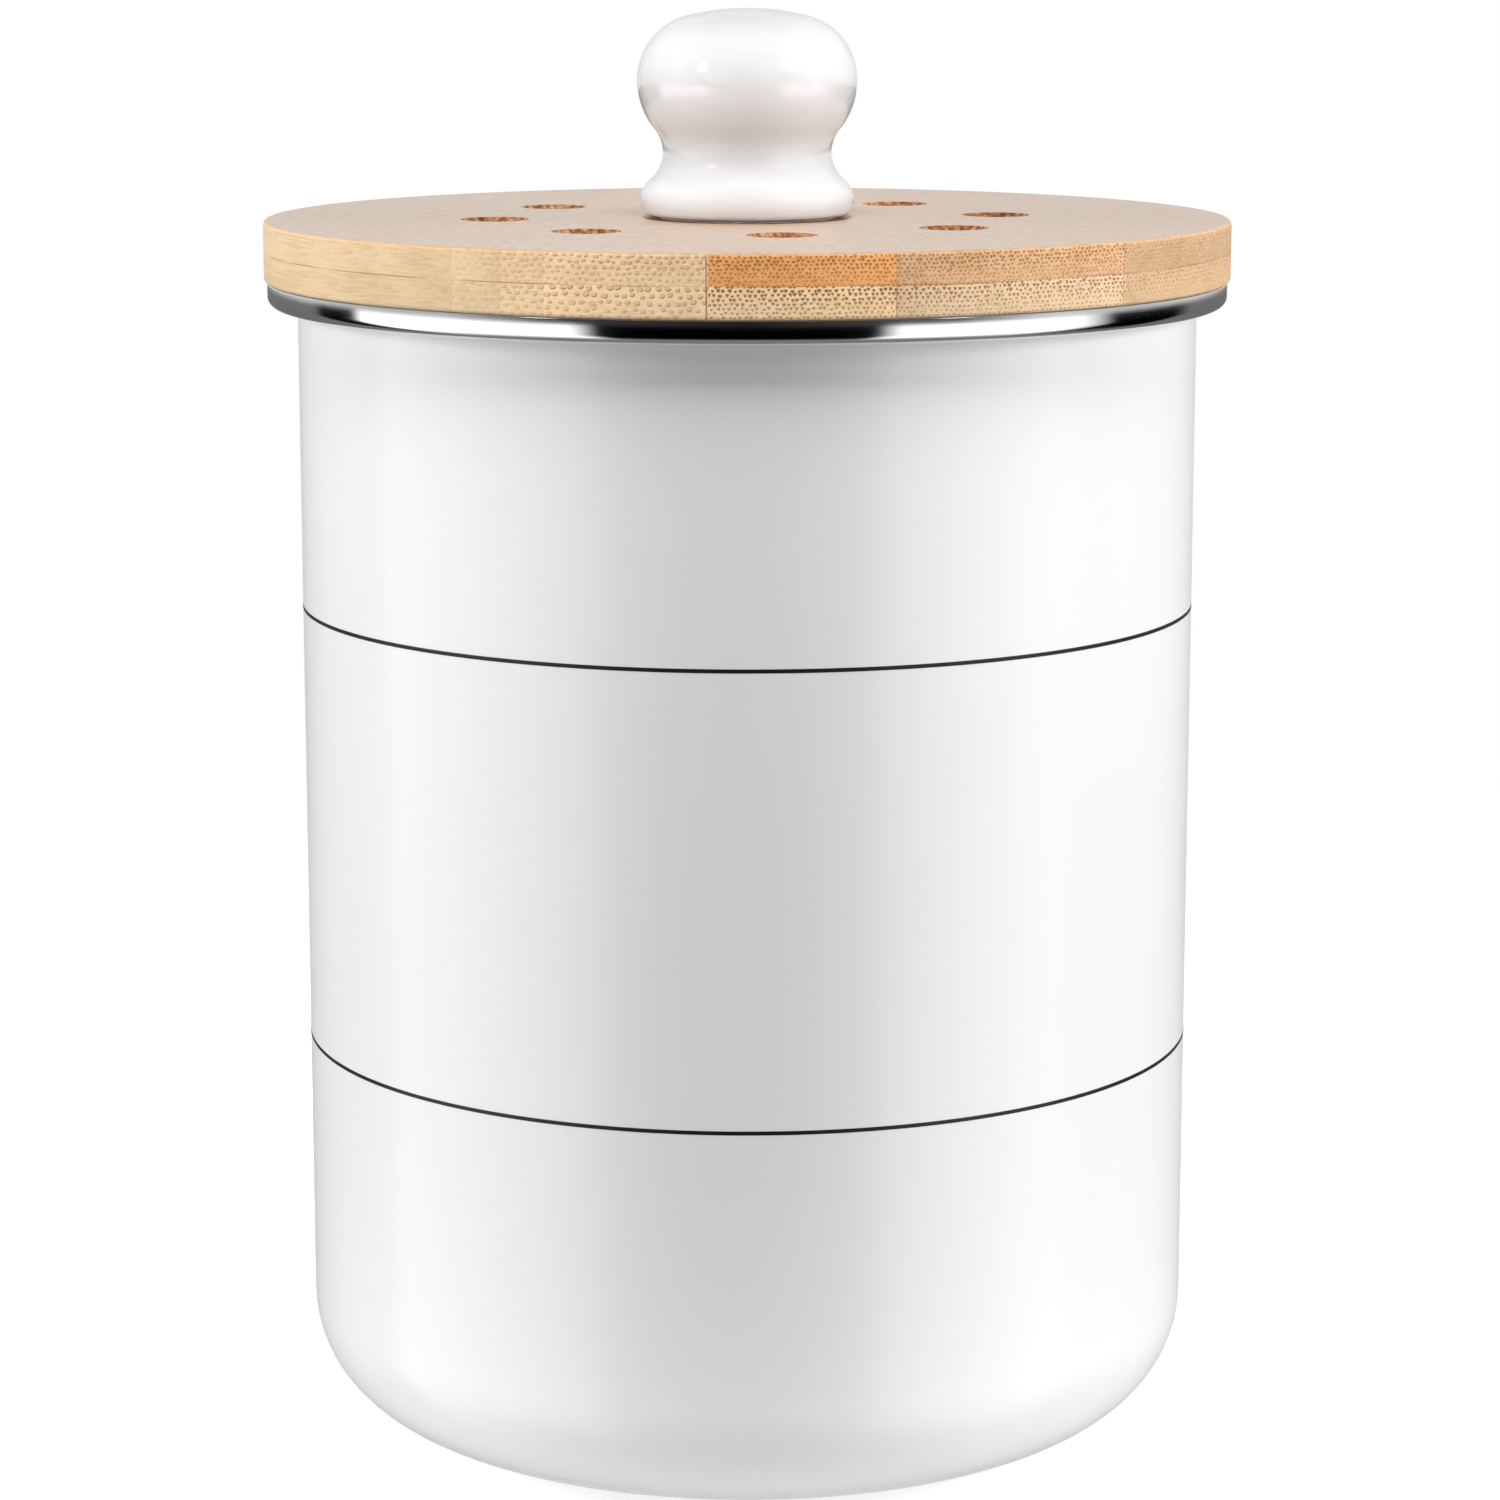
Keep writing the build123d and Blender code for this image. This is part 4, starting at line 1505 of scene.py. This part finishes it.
@dataclass
class Filter:
    """The carrier ring under the lid, its push-fit cup and the felt that lies in it."""

    nodes: Nodes
    off_white: Finish = MouldedPlastic("filter_plastic", (0.80, 0.80, 0.78), (0.34, 0.46))
    felt_radius: float = 58.0
    felt_low: float = 211.2
    felt_high: float = 218.2
    felt_round: float = 1.6
    dip: float = 0.25
    swell: float = 0.22
    waves: Pair = (0.21, 0.17)
    wave_start: float = 1.0
    rings: int = 25
    round_steps: int = 6
    columns: int = 160

    def felt(self) -> Mesh:
        """The felt: a soft disc whose faces dip and swell by a fraction of a millimetre.

        The rounded profile is carried round the axis, and each height then moves towards the
        middle plane by 0.25 + 0.22 sin(0.21 x + 1) sin(0.17 y), in millimetres.

        Returns:
            The mesh.
        """
        low, high, radius = self.felt_low, self.felt_high, self.felt_radius
        reach = np.linspace(0.0, radius - self.felt_round, self.rings + 1)
        corners = ((reach[-1], low), (radius, low), (radius, high), (reach[-1], high))
        edge = rounded(corners, (self.felt_round, self.felt_round), self.round_steps)
        under = np.stack([reach[:-1], np.full(self.rings, low)], axis=1)
        over = np.stack([reach[::-1][1:], np.full(self.rings, high)], axis=1)
        grid = turned(np.concatenate([under, edge, over]), self.columns)
        along_x = np.sin(self.waves[0] * grid[..., 0] + self.wave_start)
        swell = self.swell * along_x * np.sin(self.waves[1] * grid[..., 1])
        grid[..., 2] -= np.sign(grid[..., 2] - (low + high) / 2) * (self.dip + swell)
        skin = Skin()
        skin.add(grid)
        return skin.mesh("filter_felt")

    def build(self) -> None:
        """Makes the filter's pieces."""
        plastic = self.off_white.build()
        dress(self.nodes["filter_ring"], plastic)
        dress(self.nodes["filter_cover"], plastic)
        finish = [CharcoalFelt().build()]
        felt = piece(self.felt(), finish, "filter", ["charcoal_filter"])


# The studio


def around(turn: float, distance: float, height: float) -> Triple:
    """A place in metres at some degrees from the front, to the right, and at a height."""
    return (distance * np.sin(radians(turn)), -distance * np.cos(radians(turn)), height)


@dataclass(frozen=True)
class Lamp:
    """A soft rectangular lamp that looks at a point of the caddy's axis.

    Attributes:
        name: its name.
        place: where it stands, in metres.
        size: its width and height.
        power: its power in watts.
        aim: the height of the point that it looks at.
        mirrored: whether the metal and the glaze mirror it.
    """

    name: str
    place: Triple
    size: Pair
    power: float
    aim: float = 0.16
    mirrored: bool = False

    def light(self) -> bpy.types.Light:
        """The lamp's light, a rectangle.

        Returns:
            The light.
        """
        data = bpy.data.lights.new(self.name, "AREA")
        data.shape, data.size, data.size_y = "RECTANGLE", *self.size
        return data

    def build(self) -> None:
        """Puts the lamp in the scene."""
        data = self.light()
        data.energy = self.power
        made = bpy.data.objects.new(self.name, data)
        made.location = self.place
        made.visible_glossy = self.mirrored
        way = Vector((0.0, 0.0, self.aim)) - made.location
        made.rotation_euler = way.to_track_quat("-Z", "Y").to_euler()
        bpy.context.scene.collection.objects.link(made)


@dataclass(frozen=True)
class Snoot(Lamp):
    """A lamp narrowed to a cone of some degrees, as wide at its mouth as its size says."""

    cone: float = 3.2
    blend: float = 0.25

    def light(self) -> bpy.types.Light:
        """The lamp's light, a spot.

        Returns:
            The light.
        """
        data = bpy.data.lights.new(self.name, "SPOT")
        data.shadow_soft_size = self.size[0]
        data.spot_size, data.spot_blend = radians(self.cone), self.blend
        return data


@dataclass
class Studio:
    """The camera, the lamps, the room that the metal mirrors and the floor.

    Two small softboxes look down at the lid from the front. A broad lamp on each side and one
    overhead light the rest and aren't mirrored, and a snoot lights the knob alone. The room's
    bands give directions in degrees and how bright the room is there, near the horizon's level
    and above it.
    """

    camera_place: Triple = (0.00055, -0.88995, 0.3025)
    camera_tilt: float = 79.295
    lens: float = 107.25
    sensor: float = 36.0
    lamps: tuple[Lamp, ...] = (
        Lamp("softbox_left", around(-50.0, 1.05, 0.72), (0.14, 0.2), 0.35, mirrored=True),
        Lamp("softbox_right", around(50.0, 1.05, 0.72), (0.14, 0.2), 0.35, mirrored=True),
        Lamp("side_left", around(-86.0, 1.3, 0.42), (0.7, 0.6), 13.2),
        Lamp("side_right", around(86.0, 1.3, 0.42), (0.7, 0.6), 15.4),
        Lamp("overhead", (0.0, -0.48, 1.18), (0.5, 0.5), 11.9),
        Snoot("snoot", (0.0, -1.0, 0.42), (0.004, 0.004), 24.0, aim=0.258),
    )
    floor_radius: float = 0.9
    floor_level: float = -0.1
    floor_rings: int = 12
    floor_columns: int = 96
    floor_fade: Pair = (0.42, 0.86)
    paper: tuple[Colour, Colour] = ((0.86, 0.86, 0.86), (0.88, 0.88, 0.88))
    paper_grain: Grain = Grain(600.0, 3.0)
    paper_traits: Traits = (("Roughness", 0.9), ("Specular IOR Level", 0.1))
    unseen_paper: Colour = (0.30, 0.30, 0.30)
    floor_glow: float = 0.35
    bounce_fade: Pair = (0.28, 0.10)
    bounce_near: float = 0.62
    bounce_far: float = 0.09
    brightest: float = 3.0
    low_bands: tuple[Point, ...] = (
        (-180.0, 0.7), (-173.0, 0.7), (-167.0, 0.17), (-124.0, 0.17), (-120.0, 0.0),
        (-106.0, 0.0), (-103.0, 1.5), (-42.0, 1.5), (-35.0, 0.0), (30.5, 0.0),
        (36.5, 1.5), (84.0, 1.5), (96.0, 0.0), (122.0, 0.0), (130.0, 0.17),
        (167.0, 0.17), (173.0, 0.7),
    )
    high_bands: tuple[Point, ...] = (
        (-180.0, 0.75), (-130.0, 0.75), (-100.0, 0.5), (-75.0, 0.5), (-50.0, 0.05),
        (0.0, 0.02), (50.0, 0.08), (75.0, 0.7), (100.0, 0.6), (130.0, 0.75),
    )
    zenith: Colour = (0.05, 0.05, 0.055)
    zenith_start: Pair = (0.45, 0.9)
    nadir: Colour = (0.22, 0.22, 0.22)
    nadir_start: Pair = (-0.5, -0.85)
    horizon: Pair = (-0.084, -0.06)

    def camera(self) -> None:
        """The camera, where the photograph's was."""
        data = bpy.data.cameras.new("camera")
        data.lens, data.sensor_width = self.lens, self.sensor
        made = bpy.data.objects.new("camera", data)
        made.location = self.camera_place
        made.rotation_euler = (radians(self.camera_tilt), 0.0, 0.0)
        bpy.context.scene.collection.objects.link(made)
        bpy.context.scene.camera = made

    def room(self) -> None:
        """The world: white to the camera, and to all else a dark front between bright sides."""
        world = bpy.data.worlds.new("room")
        world.use_nodes = True
        bpy.context.scene.world = world
        graph = Graph(world.node_tree)
        background = world.node_tree.nodes["Background"]
        way = graph.node("TexCoord").outputs["Generated"]
        x, y, z = graph.node("SeparateXYZ", {0: way}).outputs
        turn = graph.math("ARCTAN2", x, graph.times(y, -1.0))
        place = graph.plus(graph.math("DIVIDE", turn, 2 * pi), 0.5)
        low, high = (graph.ramp(place, self.stops(b)) for b in (self.low_bands, self.high_bands))
        zenith, nadir = (dimmed(colour, 1 / self.brightest) for colour in (self.zenith, self.nadir))
        over = graph.blend(graph.step(z, *self.zenith_start), high, zenith)
        below = graph.blend(graph.step(z, *self.nadir_start), low, nadir)
        room = graph.blend(graph.step(z, *self.horizon), below, over)
        rays = graph.node("LightPath").outputs["Is Camera Ray"]
        graph.feed(background.inputs["Color"], graph.blend(rays, room, (1.0, 1.0, 1.0)))
        strength = graph.blend_numbers(rays, self.brightest, 1.0)
        graph.feed(background.inputs["Strength"], strength)

    def stops(self, bands: Sequence[Point]) -> list[tuple[float, Colour]]:
        """Bands given by direction in degrees and level, as stops of a ramp from 0 to 1."""
        return [((turn + 180) / 360, (level / self.brightest,) * 3) for turn, level in bands]

    def floor(self) -> None:
        """A pale round floor, just under the caddy's base, whose upper side alone shows."""
        reach = np.linspace(0.0, self.floor_radius / MM, self.floor_rings)
        level = np.full(self.floor_rings, self.floor_level)
        mesh = lathed("floor", np.stack([reach, level], axis=1), self.floor_columns)
        mesh.flip_normals()
        made = bpy.data.objects.new("floor", mesh)
        bpy.context.scene.collection.objects.link(made)
        mesh.materials.append(self.floor_finish())

    def floor_finish(self) -> Material:
        """Pale paper that glows a little and fades out towards its border.

        It is clear from below and to mirrors, and darker to all rays that don't show it.

        Returns:
            The material.
        """
        material, graph, shader = surface("pale_floor", dict(self.paper_traits))
        spot = graph.place()
        path = graph.node("LightPath").outputs
        shown = graph.most(path["Is Camera Ray"], path["Is Transmission Ray"])
        pale = graph.blend(self.paper_grain.at(graph, spot), *self.paper)
        graph.feed(shader.inputs["Base Color"], graph.blend(shown, self.unseen_paper, pale))
        graph.feed(shader.inputs["Emission Color"], opaque((1.0, 1.0, 1.0)))
        reach = graph.node("VectorMath", {0: spot}, operation="LENGTH").outputs["Value"]
        bounce = graph.line(graph.step(reach, *self.bounce_fade), self.bounce_near, self.bounce_far)
        glow = graph.blend_numbers(shown, bounce, self.floor_glow)
        graph.feed(shader.inputs["Emission Strength"], glow)
        below = graph.node("NewGeometry").outputs["Backfacing"]
        hidden = graph.most(below, path["Is Glossy Ray"])
        fade = graph.most(graph.step(reach, *self.floor_fade), hidden)
        clear = graph.node("BsdfTransparent").outputs[0]
        mixed = graph.node("MixShader", {0: fade, 1: shader.outputs[0], 2: clear}).outputs[0]
        graph.feed(material.node_tree.nodes["Material Output"].inputs["Surface"], mixed)
        return material

    def build(self) -> None:
        """Makes the stage."""
        bpy.context.scene.view_settings.view_transform = "Standard"
        self.camera()
        for lamp in self.lamps:
            lamp.build()
        self.room()
        self.floor()


def main() -> None:
    """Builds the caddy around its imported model, then the studio."""
    logging.basicConfig(level=logging.INFO, format="%(name)s: %(message)s")
    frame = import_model()
    nodes = frame["nodes"]
    Bin().build()
    Lid(nodes).build()
    Knob(nodes).build()
    Bucket(nodes).build()
    Filter(nodes).build()
    Studio().build()


if __name__ == "__main__":
    main()
